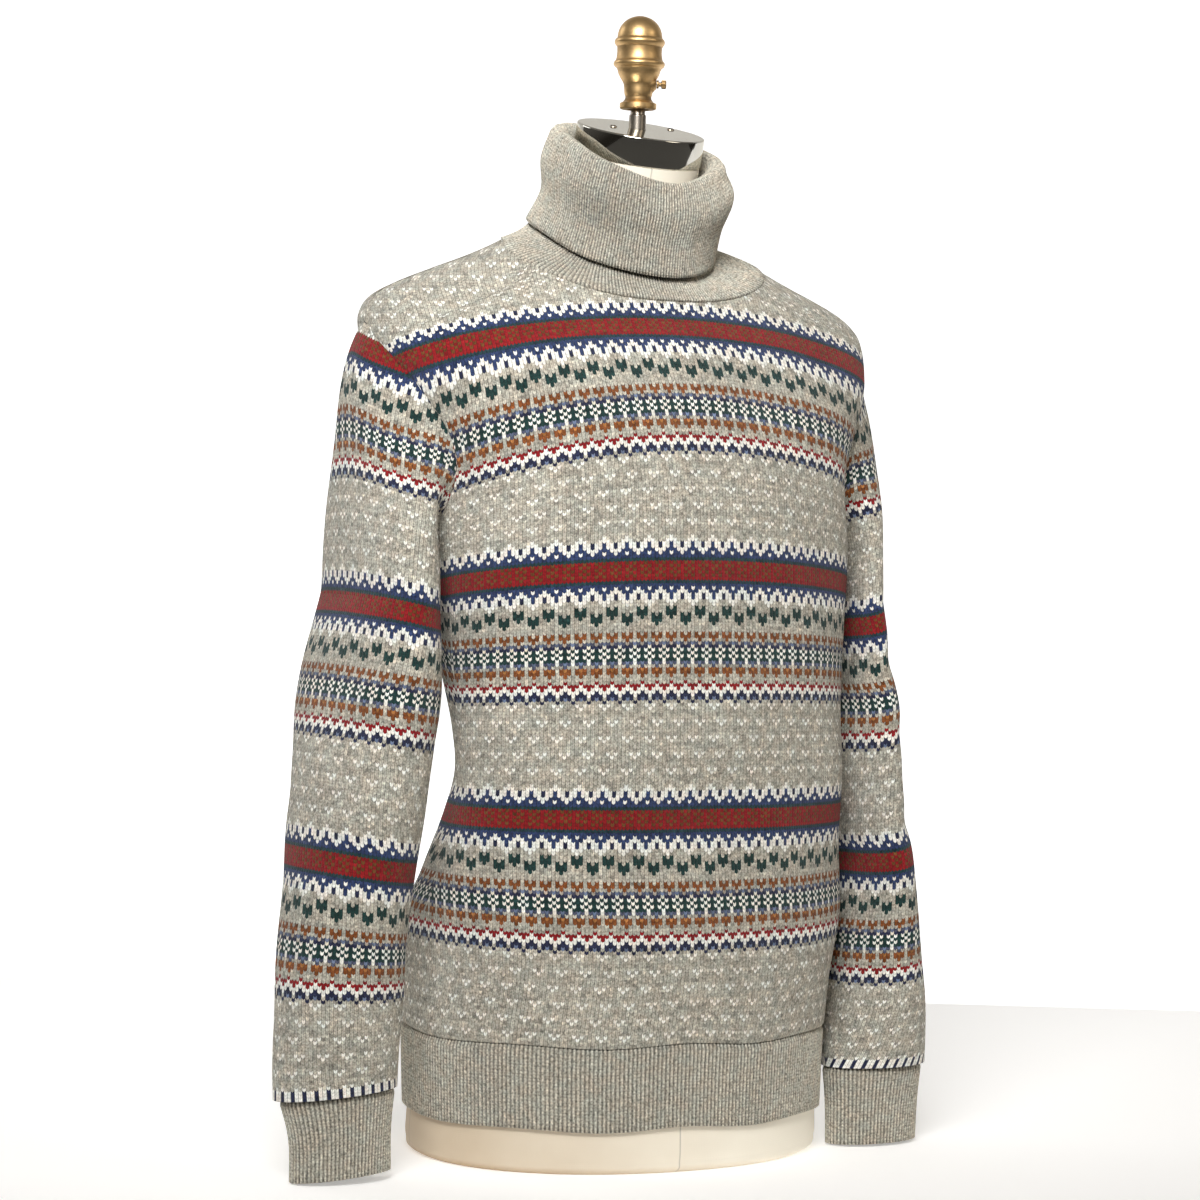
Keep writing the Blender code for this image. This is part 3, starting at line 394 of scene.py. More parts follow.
class Wire:  # a shader value that can be reckoned with

    def __init__(self, tree, socket):
        self.tree = tree
        self.socket = socket

    def isWide(self):
        return self.socket.type in ("VECTOR", "RGBA")

    def reckon(self, operation, *others):
        parts = (self, *others)
        wide = any(p.isWide() if isinstance(p, Wire) else isinstance(p, tuple) for p in parts)
        node = self.tree.nodes.new("ShaderNodeVectorMath" if wide else "ShaderNodeMath")
        node.operation = operation
        for socket, part in zip(node.inputs, parts):
            plug(self.tree, socket, part)
        return Wire(self.tree, node.outputs[0])

    __add__ = __radd__ = lambda self, other: self.reckon("ADD", other)
    __mul__ = __rmul__ = lambda self, other: self.reckon("MULTIPLY", other)
    __sub__ = lambda self, other: self.reckon("SUBTRACT", other)
    __rsub__ = lambda self, other: self * -1.0 + other
    __truediv__ = lambda self, other: self.reckon("DIVIDE", other)
    __pow__ = lambda self, other: self.reckon("POWER", other)
    fraction = lambda self: self.reckon("FRACT")
    sine = lambda self: self.reckon("SINE")
    size = lambda self: self.reckon("ABSOLUTE")
    arch = lambda self: (self * math.pi).sine().size()
    clamped = lambda self: self.reckon("MINIMUM", 1.0).reckon("MAXIMUM", 0.0)

    def between(self, first, second):  # mixes two colours by this value
        node = self.tree.nodes.new("ShaderNodeMix")
        node.data_type = "RGBA"
        for i, part in ((0, self), (6, first), (7, second)):
            plug(self.tree, node.inputs[i], part)
        return Wire(self.tree, node.outputs[2])


def plug(tree, socket, value):
    if isinstance(value, Wire):
        tree.links.new(value.socket, socket)
    elif socket.type == "RGBA" and len(value) == 3:
        socket.default_value = (*value, 1.0)
    elif socket.type == "VECTOR" and not hasattr(value, "__len__"):
        socket.default_value = (value, value, value)
    else:
        socket.default_value = value


class Paint:  # a material: its shader's inputs and any node, from one method each

    def __init__(self, name, uniform):
        self.material = bpy.data.materials.new(name)
        self.material.use_nodes = True
        self.tree = self.material.node_tree
        self.shader = self.tree.nodes["Principled BSDF"]
        for label, value in uniform.items():
            self.set(label, value)

    def set(self, name, value):
        plug(self.tree, self.shader.inputs[name], value)

    def node(self, kind, settings={}, inputs={}, output=0):
        node = self.tree.nodes.new("ShaderNode" + kind)
        for name, value in settings.items():
            setattr(node, name, value)
        for name, value in inputs.items():
            plug(self.tree, node.inputs[name], value)
        return Wire(self.tree, node.outputs[output])

    def place(self):
        return self.node("TexCoord", output=3)

    def parts(self, vector):  # the three coordinates, each as a value
        return [self.node("SeparateXYZ", inputs={"Vector": vector}, output=i) for i in range(3)]

    def yarn(self, output):  # the colour, or with output 3 the strength, that comes with the mesh
        return self.node("Attribute", {"attribute_name": "yarn"}, output=output)

    def noise(self, scale, detail=2.0, roughness=0.5):
        inputs = {"Scale": scale, "Detail": detail, "Roughness": roughness, "Vector": self.place()}
        return self.node("TexNoise", inputs=inputs)

    def knitCoordinates(self):
        return self.parts(self.node("UVMap", {"uv_map": "knit"}))[:2]

    def knitBump(self, height):
        fuzz = self.noise(1100.0, 2.0, 0.6)
        self.set("Normal", self.bump(height * 0.8 + fuzz * 0.3, 1.0, 0.001))

    def bump(self, height, strength, distance):
        return self.node("Bump", inputs={"Strength": strength, "Distance": distance, "Height": height})


def melange(paint, colour, depth):  # heathered wool: short light and dark hairs over the dyed colour
    hairs = paint.noise(760.0, 2.0, 0.7)
    flecks = paint.noise(430.0, 1.0, 0.6)
    patches = paint.noise(24.0, 2.0, 0.5)
    uneven = (hairs - 0.5) * 2.4 + (flecks - 0.5) * 2.0 + (patches - 0.5) * 0.3
    tint = (paint.noise(95.0, 2.0, 0.6) * 3.0 - 1.0).clamped().between((1.03, 0.98, 0.93), (0.95, 1.00, 1.00))
    return colour * (1.0 + uneven * depth) * tint


def stockinetteHeight(paint):  # two strands to a stitch, furrows between wales, a fold at each row
    across, up = paint.knitCoordinates()
    return (across * 2.0).arch() ** 0.6 * 0.4 + across.arch() ** 0.6 * 0.4 + up.arch() ** 0.5 * 0.3


woolFinish = {"Roughness": 0.95, "Sheen Weight": 0.12, "Sheen Roughness": 0.5, "Specular IOR Level": 0.15}
threads = 4200.0  # the canvas's, in radians to the metre


def patternedKnit():
    paint = Paint("patternedKnit", woolFinish)
    height = stockinetteHeight(paint)
    wool = melange(paint, paint.yarn(0), paint.yarn(3) * 0.7)
    # painted shade: the base colour darkens down to 0.16 in the furrows between strands and wales and at each
    # row's fold
    paint.set("Base Color", wool * (0.16 + height.clamped() * 1.02))
    paint.knitBump(height)
    return paint.material


def ribbedKnit(name, colour):  # ribs are in the mesh; the shader adds each rib's chain of stitches
    paint = Paint(name, woolFinish)
    across, up = paint.knitCoordinates()
    fromMiddle = (across.fraction() - 0.5).size()
    chain = (up + fromMiddle * 1.1).arch()
    middle = (1.0 - fromMiddle * 2.0).clamped()
    height = chain ** 0.6 * 0.4 * middle ** 0.5 + middle ** 0.8 * 0.6
    # painted shade: the colour darkens down to 0.24 in the valleys beside each rib and between the stitches
    # of its chain
    paintedRibShade = 0.24 + (height * 1.1).clamped() * 0.9
    paint.set("Base Color", melange(paint, colour, 0.8) * paintedRibShade)
    paint.knitBump(height)
    return paint.material


def canvasPaint():
    paint = Paint("canvasCloth", {"Roughness": 0.85, "Sheen Weight": 0.1})
    x, y, z = paint.parts(paint.place())
    weave = (x * threads).sine() * 0.5 + (z * threads).sine() * 0.5
    stain = paint.noise(6.0, 4.0, 0.6)
    seam = (1.0 - ((x + 0.014) / 0.0009).size()).clamped() + (1.0 - ((y - 0.03) / 0.0007).size()).clamped()
    # the lower canvas turns tan: the noise gives real stains, and the darkening along the bottom rim and
    # towards the left side is painted shade
    paintedRimShade = (1.0 - z / 0.006).clamped()
    low = ((0.3 - z) * 10.0).clamped()
    stainsAndPaintedShade = ((stain * 0.6 - x * 4.0 - 0.2 + paintedRimShade * 0.4) * low).clamped()
    colour = stainsAndPaintedShade.between((0.96, 0.9, 0.77), (0.52, 0.39, 0.25))
    paint.set("Base Color", colour * (1.0 - seam * 0.4))
    paint.set("Normal", paint.bump(weave * 0.3 - seam * 2.0, 0.25, 0.0003))
    return paint.material


def metalPaint(name, colour, roughness, wear, scale, edge=(1, 1, 1)):  # with faint handling marks
    paint = Paint(name, {"Metallic": 1.0, "Specular Tint": edge})
    marks = paint.noise(scale, 4.0, 0.6)
    tone = 1.0 - (marks - 0.5).size() * wear
    paint.set("Base Color", colour * tone)
    paint.set("Roughness", (marks * wear * 0.3 + roughness).clamped())
    return paint.material


def brassPaint():  # satin brass whose grooves have gone dark; how dark comes with the mesh
    paint = Paint("agedBrass", {"Metallic": 1.0})
    marks = paint.noise(90.0, 5.0, 0.65)
    fine = paint.noise(900.0, 2.0, 0.5)
    dark = (paint.yarn(3) * 0.85 + (marks - 0.45) * 0.9).clamped()
    paint.set("Base Color", dark.between((0.7, 0.47, 0.22), (0.13, 0.08, 0.035)))
    paint.set("Roughness", (0.4 + dark * 0.22 + (fine - 0.5) * 0.2).clamped())
    return paint.material


def panel(name, side, material):
    surface = surfaces[side]
    halfStitches = int(body["halfSpan"] / stitchWidth) * 2 + 1
    offsets = np.arange(-halfStitches, halfStitches + 1) * stitchWidth / 2
    top = np.interp(body["neckSide"], surface.heights, surface.rowAt) + body["spareTop"]
    rowCount = int((top - hemSeam) / rowHeight)

    def lineAt(row):
        line = panelPoints(side, np.full(len(offsets), float(row)), offsets)
        if row > 1:
            return line
        return line - unit(line * (1.0, 1.0, 0.0)) * body["hemTuck"] * (1 - row)

    obj = knitPiece(name, lineAt, rowCount, halfStitches, material, False, 7 + side)
    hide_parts(name.replace("Knit", ""))
    return obj


def edgeNormals(side, z, end):  # outward directions and points on the cut edge
    surface = surfaces[side]
    girth, inset = surface.reach(z)
    other = surfaces[-side]
    own = surface.normal(end * (girth - inset), z)
    shared = unit(own + other.normal(end * other.reach(z)[0], z))
    mix = np.clip(inset / body["sharedInset"], 0, 1)[:, None]
    return unit(own * mix + shared * (1 - mix)), surface.at(end * (girth - inset), z)


def armholeFrame(turns, end):  # the cut edge, and the ways into the armhole and out of the body
    middle = (body["armpit"] + body["shoulderTip"]) / 2
    half = (body["shoulderTip"] - body["armpit"]) / 2

    def edge(at):
        z = middle + half * np.cos(at)
        frontNormal, frontPoint = edgeNormals(-1, z, end)
        backNormal, backPoint = edgeNormals(1, z, end)
        isFront = (np.sin(at) >= 0)[:, None]
        return np.where(isFront, frontPoint, backPoint), np.where(isFront, frontNormal, backNormal)

    place, normal = edge(turns)
    along = edge(turns + 0.02)[0] - edge(turns - 0.02)[0]
    inward = unit(np.cross(normal, along))
    hole = surfaces[1].at(end * surfaces[1].reach(middle)[0], middle)
    flip = np.sum(inward * (hole - place), axis=1, keepdims=True) < 0
    return place, np.where(flip, -inward, inward), normal


def creaseDepth(creases, z, turns):
    total = np.zeros(np.broadcast(z, turns).shape)
    for height, turn, length, width, depth, slope in creases:
        away = (turns - turn + math.pi) % (2 * math.pi) - math.pi
        total += depth * np.exp(-(((z - height - slope * away) / width) ** 2) - (away / length) ** 2)
    return total


def leaned(points, end):  # lifts a wrist and its cuff towards one side
    seam = sleeve["rightRings" if end < 0 else "leftRings"][-1]
    share = 1 - ramp(points[..., 2], *sleeve["leanHeights"])
    turn = sleeve["leanTurn"]
    across = math.cos(turn) * (points[..., 0] - seam[1]) + math.sin(turn) * (points[..., 1] - seam[2])
    moved = points.copy()
    moved[..., 2] += sleeve["leans"][end] * share * across
    return moved


def sleeveTable(rings, creases, end, turnCount=144, armRows=110):  # rows from the armhole down, by turns
    turns = np.arange(turnCount) * circle / turnCount
    loop, inward, normal = armholeFrame(turns, end)
    low = ((1 - np.cos(turns)) / 2)[:, None] ** 1.2
    bend = sleeve["tipBend"] + (sleeve["armpitBend"] - sleeve["tipBend"]) * low
    spread = np.sin(turns)[:, None] ** 2
    along = inward * (1, 0, 1) + inward * (0, 1, 0) * spread
    leaving = along * np.cos(bend) + normal * np.sin(bend)

    def ring(z):
        cx, cy, hx, hy = columns(rings, np.array(z))
        sink = creaseDepth(creases, z, turns)
        x = cx + end * (hx - sink) * np.cos(turns)
        y = cy - (hy - sink) * np.sin(turns)
        return np.stack([x, y, np.full(turnCount, z)], axis=1)

    top = rings[0][0]
    bottom = rings[-1][0]
    first = ring(top)
    drop = loop[:, 2:3] - top
    startPull = loop + sleeve["startPull"] * drop * leaving
    endPull = first + np.array([0.0, 0.0, sleeve["endPull"]]) * drop
    rows = []
    for t in np.arange(capRows) / capRows:
        s = 1 - t
        rows.append(loop * s**3 + startPull * 3 * s * s * t + endPull * 3 * s * t * t + first * t**3)
    rows += [ring(z) for z in np.linspace(top, bottom, armRows + 1)]
    return np.array(rows)


def sleeveLines(table, front):  # a function that gives half a row's points
    half = table[:, np.arange(table.shape[1] // 2 + 1) * (1 if front else -1)]
    turns = np.linspace(0, math.pi, half.shape[1])
    sink = smooth(half[..., 2], *sleeve["droop"]) * (1 - np.cos(turns)) / 2
    level = half[..., 2] + sink
    level[0] -= sleeve["topRise"] * np.maximum(np.cos(turns), 0) ** 2
    climbed = travelled(half[:capRows + 1])
    level[:capRows + 1] = level[0] + (level[capRows] - level[0]) * climbed / climbed[-1]
    bottom = table[-1, 0, 2]
    grid = np.linspace(bottom - 0.002, level[0].max(), 700)
    placed = np.stack([
        np.stack([np.interp(grid, level[::-1, j], half[::-1, j, axis]) for j in range(len(turns))], axis=1)
        for axis in range(3)], axis=2)
    edge = np.maximum.accumulate(level[0][::-1])

    def lineAt(row, offsets):
        at = bottom + row * rowHeight
        last = np.interp(at, edge, turns[::-1])
        spread = np.linspace(0, 1, 121) * last / math.pi * (len(turns) - 1)
        i = np.clip(spread.astype(int), 0, len(turns) - 2)
        u = (spread - i)[:, None]
        k = np.clip((at - grid[0]) / (grid[1] - grid[0]), 0, len(grid) - 1.001)
        low = int(k)
        line = placed[low] * (1 - (k - low)) + placed[low + 1] * (k - low)
        points = line[i] * (1 - u) + line[i + 1] * u
        if last < math.pi - 1e-6:
            share = last / math.pi * (len(turns) - 1)
            j = int(min(share, len(turns) - 2))
            points[-1] = half[0, j] * (1 - share + j) + half[0, j + 1] * (share - j)
        return spaced(offsets, travelled(points), points)

    return lineAt


def sleevePiece(side, end, material, insideMaterial):
    table = sleeveTable(sleeve[side + "Rings"], sleeve[side + "Creases"], end)
    frontLine = sleeveLines(table, True)
    backLine = sleeveLines(table, False)
    halfStitches = 2 * int(sleeve["halfSpan"] / stitchWidth) + 1
    offsets = np.arange(halfStitches + 1) * stitchWidth / 2
    top = max(table[0, :, 2]) + sleeve["spareTop"]
    rowCount = int((top - table[-1, 0, 2]) / rowHeight) + 1

    def lineAt(row):
        front = frontLine(float(row), offsets)
        back = backLine(float(row), offsets)
        return leaned(np.concatenate([back[:0:-1], front]), end)

    outer = knitPiece(side + "SleeveKnit", lineAt, rowCount, halfStitches, material, True, 21 + end)
    along = np.roll(table, -1, axis=1) - np.roll(table, 1, axis=1)
    normals = unit(np.cross(along, np.gradient(table, axis=0)))
    if np.sum(normals[-1] * (table[-1] - table[-1].mean(axis=0))) < 0:
        normals = -normals
    inside = draped(leaned((table - normals * wallThickness)[4:][::5, ::3], end))
    inner = gridMesh(side + "SleeveKnitInside", inside, insideMaterial, True, scale=(3, 2))
    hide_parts("sleeve_" + side)
    return outer, inner


def sectionRing(rows, z, count):  # a level cut, with evenly spaced points
    half, front, back, centre, square, *middle = columns(rows, z)
    turns = np.linspace(0, circle, 8 * count + 1)
    sine, cosine = np.sin(turns), np.cos(turns)
    depth = np.where(sine < 0, front, back)
    x = sum(middle) + half * np.sign(cosine) * np.abs(cosine) ** (2 / square)
    y = centre + depth * np.sign(sine) * np.abs(sine) ** (2 / square)
    outline = np.stack([x, y, np.full(len(x), z)], axis=1)
    arc = travelled(outline)
    return spaced(np.arange(count) * arc[-1] / count, arc, outline)


def levelNormals(ring):
    along = np.roll(ring, -1, axis=0) - np.roll(ring, 1, axis=0)
    return unit(np.stack([along[:, 1], -along[:, 0], np.zeros(len(ring))], axis=1))


def ribbedBand(name, node, band, table, bottom, top, material, end=0):  # ribbed outside, plain inside
    lift = np.tile(ribShape, band["ribs"])[:, None] * band["rise"]
    rings, outer, inner = [], [], []
    for share in np.linspace(0, 1, band["rows"]):
        ring = sectionRing(table, bottom + (top - bottom) * share, 4 * band["ribs"])
        normal = levelNormals(ring)
        tucked = np.clip((share - band["tuckFrom"]) / (1 - band["tuckFrom"]), 0, 1) ** 2
        ring -= normal * band["tuck"] * tucked
        rings.append(leaned(ring, end) if end else ring)
        outer.append(rings[-1] - normal * (band["rise"] - lift))
        inner.append(rings[-1] - normal * (bandWall + band["rise"]))
    step = np.linalg.norm(rings[1][0] - rings[0][0]) / rowHeight
    obj = gridMesh(name, draped(np.array(outer + inner[::-1])), material, True, True, (0.25, step))
    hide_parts(node)
    return obj


hem = {"bottom": 0.035, "ribs": 292, "rise": 0.0012, "rows": 15, "tuck": 0.0022, "tuckFrom": 0.93}
cuff = {
    "ribs": 66, "rise": 0.0012, "rows": 15, "tuck": 0.0016, "tuckFrom": 0.94,
    # as the body's sections, and last the centre's x
    "right": metres((
        (67.7, 47, 29, 29, -62, 2, -278.5), (40, 42, 25, 25, -62, 2, -275.5),
        (4.5, 41.5, 22, 22, -63, 2, -274.5),
    ), 5),
    "left": metres((
        (65.7, 45, 30, 30, -64, 2, 208.5), (38, 43, 25, 25, -66, 2, 207.5), (3, 42, 22.5, 22.5, -67, 2, 207),
    ), 5),
}


collar = {
    "ribs": 200, "rise": 0.0011, "rows": 56, "standRadius": 0.061, "turnRadius": 0.0055, "ease": 0.0015,
    "foldOver": 0.01, "seamDrop": 0.001, "seamOut": 0.0012,
    # angle, fold top, flap bottom, swell, waist, flare; angle 0 is the front
    "points": metres((
        (0, 778, 703, 6.5, 5, 8), (45, 794, 714, 9, 4, 3), (90, 811, 740, 9.5, 3.5, 2.5),
        (135, 827, 754, 6.5, 2, 6), (180, 832, 757, 5.5, 1.5, 8), (225, 830, 755, 4, 0.5, 9),
        (270, 816, 740, 4, 0.5, 8.5), (315, 792, 714, 5, 2, 7.5),
    ), 0),
}


def neckCentre(z):
    return torso["neckAxisY"] + (torso["capTop"] - torso["capHeight"] - z) * math.tan(torso["neckTilt"])


def neckSeam(angles):  # the neckline's points at these angles, eased at the shoulders
    centre = neckCentre(body["neckSide"])
    seam = np.empty((len(angles), 3))
    for side in (-1, 1):
        surface = surfaces[side]
        offsets = np.linspace(0, surface.reach(body["neckSide"])[0], 120)
        line = surface.at(offsets, surface.neckline(offsets))
        bearing = np.arctan2(line[:, 0], side * (line[:, 1] - centre))
        order = np.argsort(bearing)
        mine = np.cos(angles) >= 0 if side < 0 else np.cos(angles) < 0
        wanted = np.arctan2(np.abs(np.sin(angles)), np.abs(np.cos(angles)))
        for axis in range(3):
            found = np.interp(wanted, bearing[order], line[order, axis])
            seam[mine, axis] = found[mine]
    seam[:, 0] *= np.where(np.sin(angles) >= 0, 1, -1)
    width = len(angles) // 32
    ease = np.hanning(2 * width + 1)
    ease /= ease.sum()
    turned = np.concatenate([seam[-width:], seam, seam[:width]])
    return np.stack([np.convolve(turned[:, a], ease, "valid") for a in range(3)], axis=1)


def collarPiece(material):  # one tube that stands up and folds down over itself
    count = 4 * collar["ribs"]
    angles = np.arange(count) * circle / count
    direction = np.stack([np.sin(angles), -np.cos(angles), np.zeros(count)], axis=1)
    table = [(row[0] + turn, *row[1:]) for turn in (-360, 0, 360) for row in collar["points"]]
    foldTop, flapBottom, swell, waist, flare = columns(table, np.degrees(angles))
    foldHeight = foldTop - collar["turnRadius"] - collar["ease"]
    flapRadius = collar["standRadius"] + 2 * collar["turnRadius"]

    def around(radius, z):
        z = np.broadcast_to(z, angles.shape)
        centre = np.stack([np.zeros(count), neckCentre(z), z], axis=1)
        return direction * np.broadcast_to(radius, angles.shape)[:, None] + centre

    path = [neckSeam(angles) - np.array(upright) * collar["seamDrop"] + direction * collar["seamOut"]]
    path.append(around(flapRadius + flare - 0.0045, flapBottom - 0.0027))
    path.append(around(collar["standRadius"] + 0.0025, flapBottom + 0.012))
    for turn in math.pi * (1 - np.linspace(0, 1, 7)):
        radius = collar["standRadius"] + collar["turnRadius"] * (1 + math.cos(turn))
        path.append(around(radius, foldHeight + collar["turnRadius"] * math.sin(turn)))
    drop = foldHeight - flapBottom
    path.append(around(flapRadius + swell, foldHeight - 0.25 * drop))
    path.append(around(flapRadius + waist, foldHeight - 0.65 * drop))
    path.append(around(flapRadius + flare, flapBottom))
    path = np.array(path)
    knots = travelled(path).mean(axis=1)
    at = np.linspace(0, knots[-1], collar["rows"])
    flat = path.reshape(len(path), -1)
    fine = np.array([smooth(value, knots, flat).reshape(count, 3) for value in at])
    along = unit(np.gradient(fine, axis=0))
    sideways = np.cross(direction, upright)[None]
    across = unit(np.cross(np.broadcast_to(sideways, fine.shape), along))
    if np.sum(across[0] * direction) < 0:
        across = -across
    folded = np.clip((at - knots[2]) / collar["foldOver"], 0, 1)[:, None, None]
    lift = np.tile(ribShape, collar["ribs"])[None, :, None] * collar["rise"]
    half = ribWall / 2
    outer = fine + across * (half + lift * (1 - folded))
    inner = fine - across * (half + lift * folded)
    points = np.concatenate([outer, inner[::-1]])
    obj = gridMesh("collarRib", points, material, True, True, (0.25, at[1] / rowHeight))
    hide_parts("collar")
    return obj, float(at[-1])


def torsoPiece(material):  # the canvas form, with its leaning neck
    count = 128
    top = torso["sections"][-1][0]
    rings = [sectionRing(torso["sections"], z, count) for z in np.concatenate([
        np.linspace(0, 0.012, 7), np.linspace(0.016, top, 84)])]
    capBottom = torso["capTop"] - torso["capHeight"] * math.cos(torso["neckTilt"])
    turns = np.arange(count) * circle / count
    tilt = math.tan(torso["neckTilt"])
    for share in np.linspace(0.15, 1.0, 12):
        z = top + (capBottom - top) * share
        radius = torso["neckFoot"] + (torso["neckRadius"] - torso["neckFoot"]) * share
        y = radius * np.sin(turns)
        rings.append(np.stack([radius * np.cos(turns), neckCentre(z) + y, z + y * tilt * share], axis=1))
    points = np.array(rings)
    ends = np.broadcast_to(points[[0, -1]].mean(axis=1, keepdims=True), (2, count, 3))
    obj = gridMesh("formTorso", np.concatenate([ends[:1], points, ends[1:]]), material, True)
    obj.data.set_sharp_from_angle(angle=math.radians(50))
    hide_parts("form_torso")
    return obj


def rounded(profile, times):  # cuts every corner of an outline, again and again
    profile = np.array(profile)
    for step in range(times):
        first = profile[:-1] * 0.75 + profile[1:] * 0.25
        second = profile[:-1] * 0.25 + profile[1:] * 0.75
        corners = np.stack([first, second], axis=1).reshape(-1, 2)
        profile = np.concatenate([profile[:1], corners, profile[-1:]])
    return profile


def lathe(name, profile, count, material, origin, axis, rides="root", groove=None, ridges=None):
    profile = np.array(profile)  # distances along the axis and radii
    axis = np.array(axis)
    side = unit(np.cross(axis, (0.0, 1.0, 0.0)))
    turns = np.arange(count) * circle / count
    around = side * np.cos(turns)[:, None] + np.cross(axis, side) * np.sin(turns)[:, None]
    radii = np.repeat(profile[:, 1:], count, axis=1)
    if ridges is not None:
        radii = radii - ridges[:, None] * knurlDepth * (np.arange(count) % 4 == 0)
    points = np.array(origin) + axis * profile[:, :1][:, None] + around * radii[..., None]
    dark = np.zeros((len(profile) - 1, count, 4))
    if groove is not None:
        dark[..., 3] = groove[:-1, None]
    return gridMesh(name, points, material, True, rides=rides, yarn=dark.reshape(-1, 4))


neck = {
    "axis": (0.0, -math.sin(torso["neckTilt"]), math.cos(torso["neckTilt"])),
    "foot": (0.0, neckCentre(torso["capTop"] - torso["capHeight"]),
             torso["capTop"] - torso["capHeight"] * math.cos(torso["neckTilt"])),
    "capRadius": 0.0525, "edge": 0.0014,
    "screws": ((-0.0232, 0.005), (0.037, 0.016)),  # the two on the disc, across and towards the back
    "head": metres(((0, 3), (0.6, 2.9), (1, 2.4), (1.2, 1.2), (1.2, 0))), "slotTop": 0.00125,
    "slot": (0.0026, 0.0005),
}


def capPieces(material, headMaterial, slotShadeMaterial):  # the polished disc with its two crossed screws
    edge = neck["edge"]
    radius = neck["capRadius"]
    height = torso["capHeight"]
    profile = [(0.0, 0.0), (0.0, radius - edge)]
    corner = np.linspace(0, math.pi / 2, 7)
    profile += [(edge - edge * math.cos(turn), radius - edge + edge * math.sin(turn)) for turn in corner]
    profile += [(height - b, r) for b, r in profile[:1:-1]]
    profile += [(height, radius - edge - 0.0006), (height, 0.0)]
    disc = lathe("capDisc", profile, 160, material, neck["foot"], neck["axis"])
    disc.data.set_sharp_from_angle(angle=math.radians(20))
    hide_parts("form_neck_cap")
    made = [disc]
    axis = np.array(neck["axis"])
    back = np.array([0.0, axis[2], -axis[1]])
    for i, (x, away) in enumerate(neck["screws"]):
        place = np.array(neck["foot"]) + axis * height + np.array([x, 0.0, 0.0]) + back * away
        made.append(lathe(f"capScrew{i}", neck["head"], 28, headMaterial, place, axis))
        cross = []
        for turn in (0.4, 0.4 + math.pi / 2):
            along = math.cos(turn) * np.array([1.0, 0, 0]) + math.sin(turn) * back
            wide = np.cross(axis, along)
            top = place + axis * neck["slotTop"]
            for a, b in ((-1, -1), (1, -1), (1, 1), (-1, 1)):
                cross.append(top + along * a * neck["slot"][0] + wide * b * neck["slot"][1])
        # painted shade: two thin near-black sheets on each head stand in for the shade inside its cross slot
        made.append(buildMesh(f"capScrewSlotShade{i}", cross, np.arange(8).reshape(2, 4), slotShadeMaterial))
    return made


rod = {
    "foot": (0.0, 0.006, 0.0),
    # height and radius, down from the top; the last row is then cut along the disc
    "outline": metres((
        (871, 0), (871, 5.5), (870.5, 6), (838, 6), (837.6, 6.1), (837.2, 6.8), (836.8, 7), (836.5, 7),
        (830, 7), (829.6, 7), (825, 7),
    )),
    "lift": 0.0001,
}


def rodPiece(material):  # the steel rod, whose foot stands all round on the leaning disc
    obj = lathe("rodTurned", rod["outline"], 48, material, rod["foot"], upright)
    for vertex in obj.data.vertices:
        if vertex.co.z < rod["outline"][-2][0] - 0.001:
            vertex.co.z = torso["capTop"] + rod["lift"] + vertex.co.y * math.tan(torso["neckTilt"])
    obj.data.set_sharp_from_angle(angle=math.radians(40))
    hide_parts("form_pole")
    return obj


finial = {
    "foot": (0.0, 0.006, 0.8418),
    # height, radius, from the tip down and up again inside the bore
    "outline": metres((
        (76.4, 0), (75.8, 5), (73.5, 10.5), (69, 15.2), (63.5, 17.8), (58.5, 18.4), (58.3, 18.4), (57, 20),
        (54.8, 20.8), (52.7, 20), (51, 18.6), (50.8, 18.4), (45.5, 18.2), (40, 19), (38.8, 20.6),
        (36.6, 21.2), (34.5, 20), (33.5, 18), (28, 16.6), (22.5, 13.2), (20.5, 12), (12.5, 11.6),
        (9.5, 10.2), (6.2, 12.2), (5, 15), (4.8, 15), (1.2, 15), (1, 14.9), (0, 13.8), (0, 6.6), (31, 6.6),
        (31, 0),
    )),
    "screwPlace": (0.0, 0.006, 0.8628), "screwAxis": (0.8660254, -0.5, 0.0),
    "screw": metres((
        (14.7, 0), (14.7, 3.2), (14.9, 3.4), (16.2, 3.4), (16.4, 3.2), (16.4, 1.8), (18.4, 1.8), (18.4, 3),
        (19, 3.6), (19.3, 3.6), (20.4, 3.6), (21.5, 3.6), (21.8, 3.6), (22.4, 3), (22.6, 2.4), (22.6, 0),
    )),
    "lug": metres(((9.5, 7.8), (11.8, 7), (13.2, 5), (14.3, 4.2), (14.55, 3.8), (14.55, 0))),
    "knurled": (0.0188, 0.0219),
}


def finialPieces(material):
    outline = rounded(finial["outline"], 2)
    arc = travelled(outline)
    even = np.linspace(0, arc[-1], 400)
    radius = np.interp(even, arc, outline[:, 1])
    wide = np.convolve(np.pad(radius, 20, "edge"), np.ones(41) / 41, "valid")
    groove = np.interp(arc, even, np.clip((wide - radius) / 0.0016, 0, 1))
    turned = lathe("finialTurned", outline, 72, material, finial["foot"], upright, groove=groove)
    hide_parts("form_finial")
    screw = np.array(finial["screw"])
    low, high = finial["knurled"]
    ridges = ((screw[:, 0] > low) & (screw[:, 0] < high)).astype(float)
    place, axis = finial["screwPlace"], finial["screwAxis"]
    lug, screwDark = finial["lug"], np.full(len(screw), 0.6)
    lug = lathe("finialLug", lug, 36, material, place, axis, groove=np.full(len(lug), 0.35))
    thumbscrew = lathe("thumbscrewTurned", screw, 96, material, place, axis, "clamp_screw", screwDark, ridges)
    for obj in (turned, lug, thumbscrew):
        obj.data.set_sharp_from_angle(angle=math.radians(38))
    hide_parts("form_thumbscrew")
    return [turned, lug, thumbscrew]


patterned = patternedKnit()
ribbed = ribbedKnit("greyRib", (0.545, 0.512, 0.44))
canvas = canvasPaint()

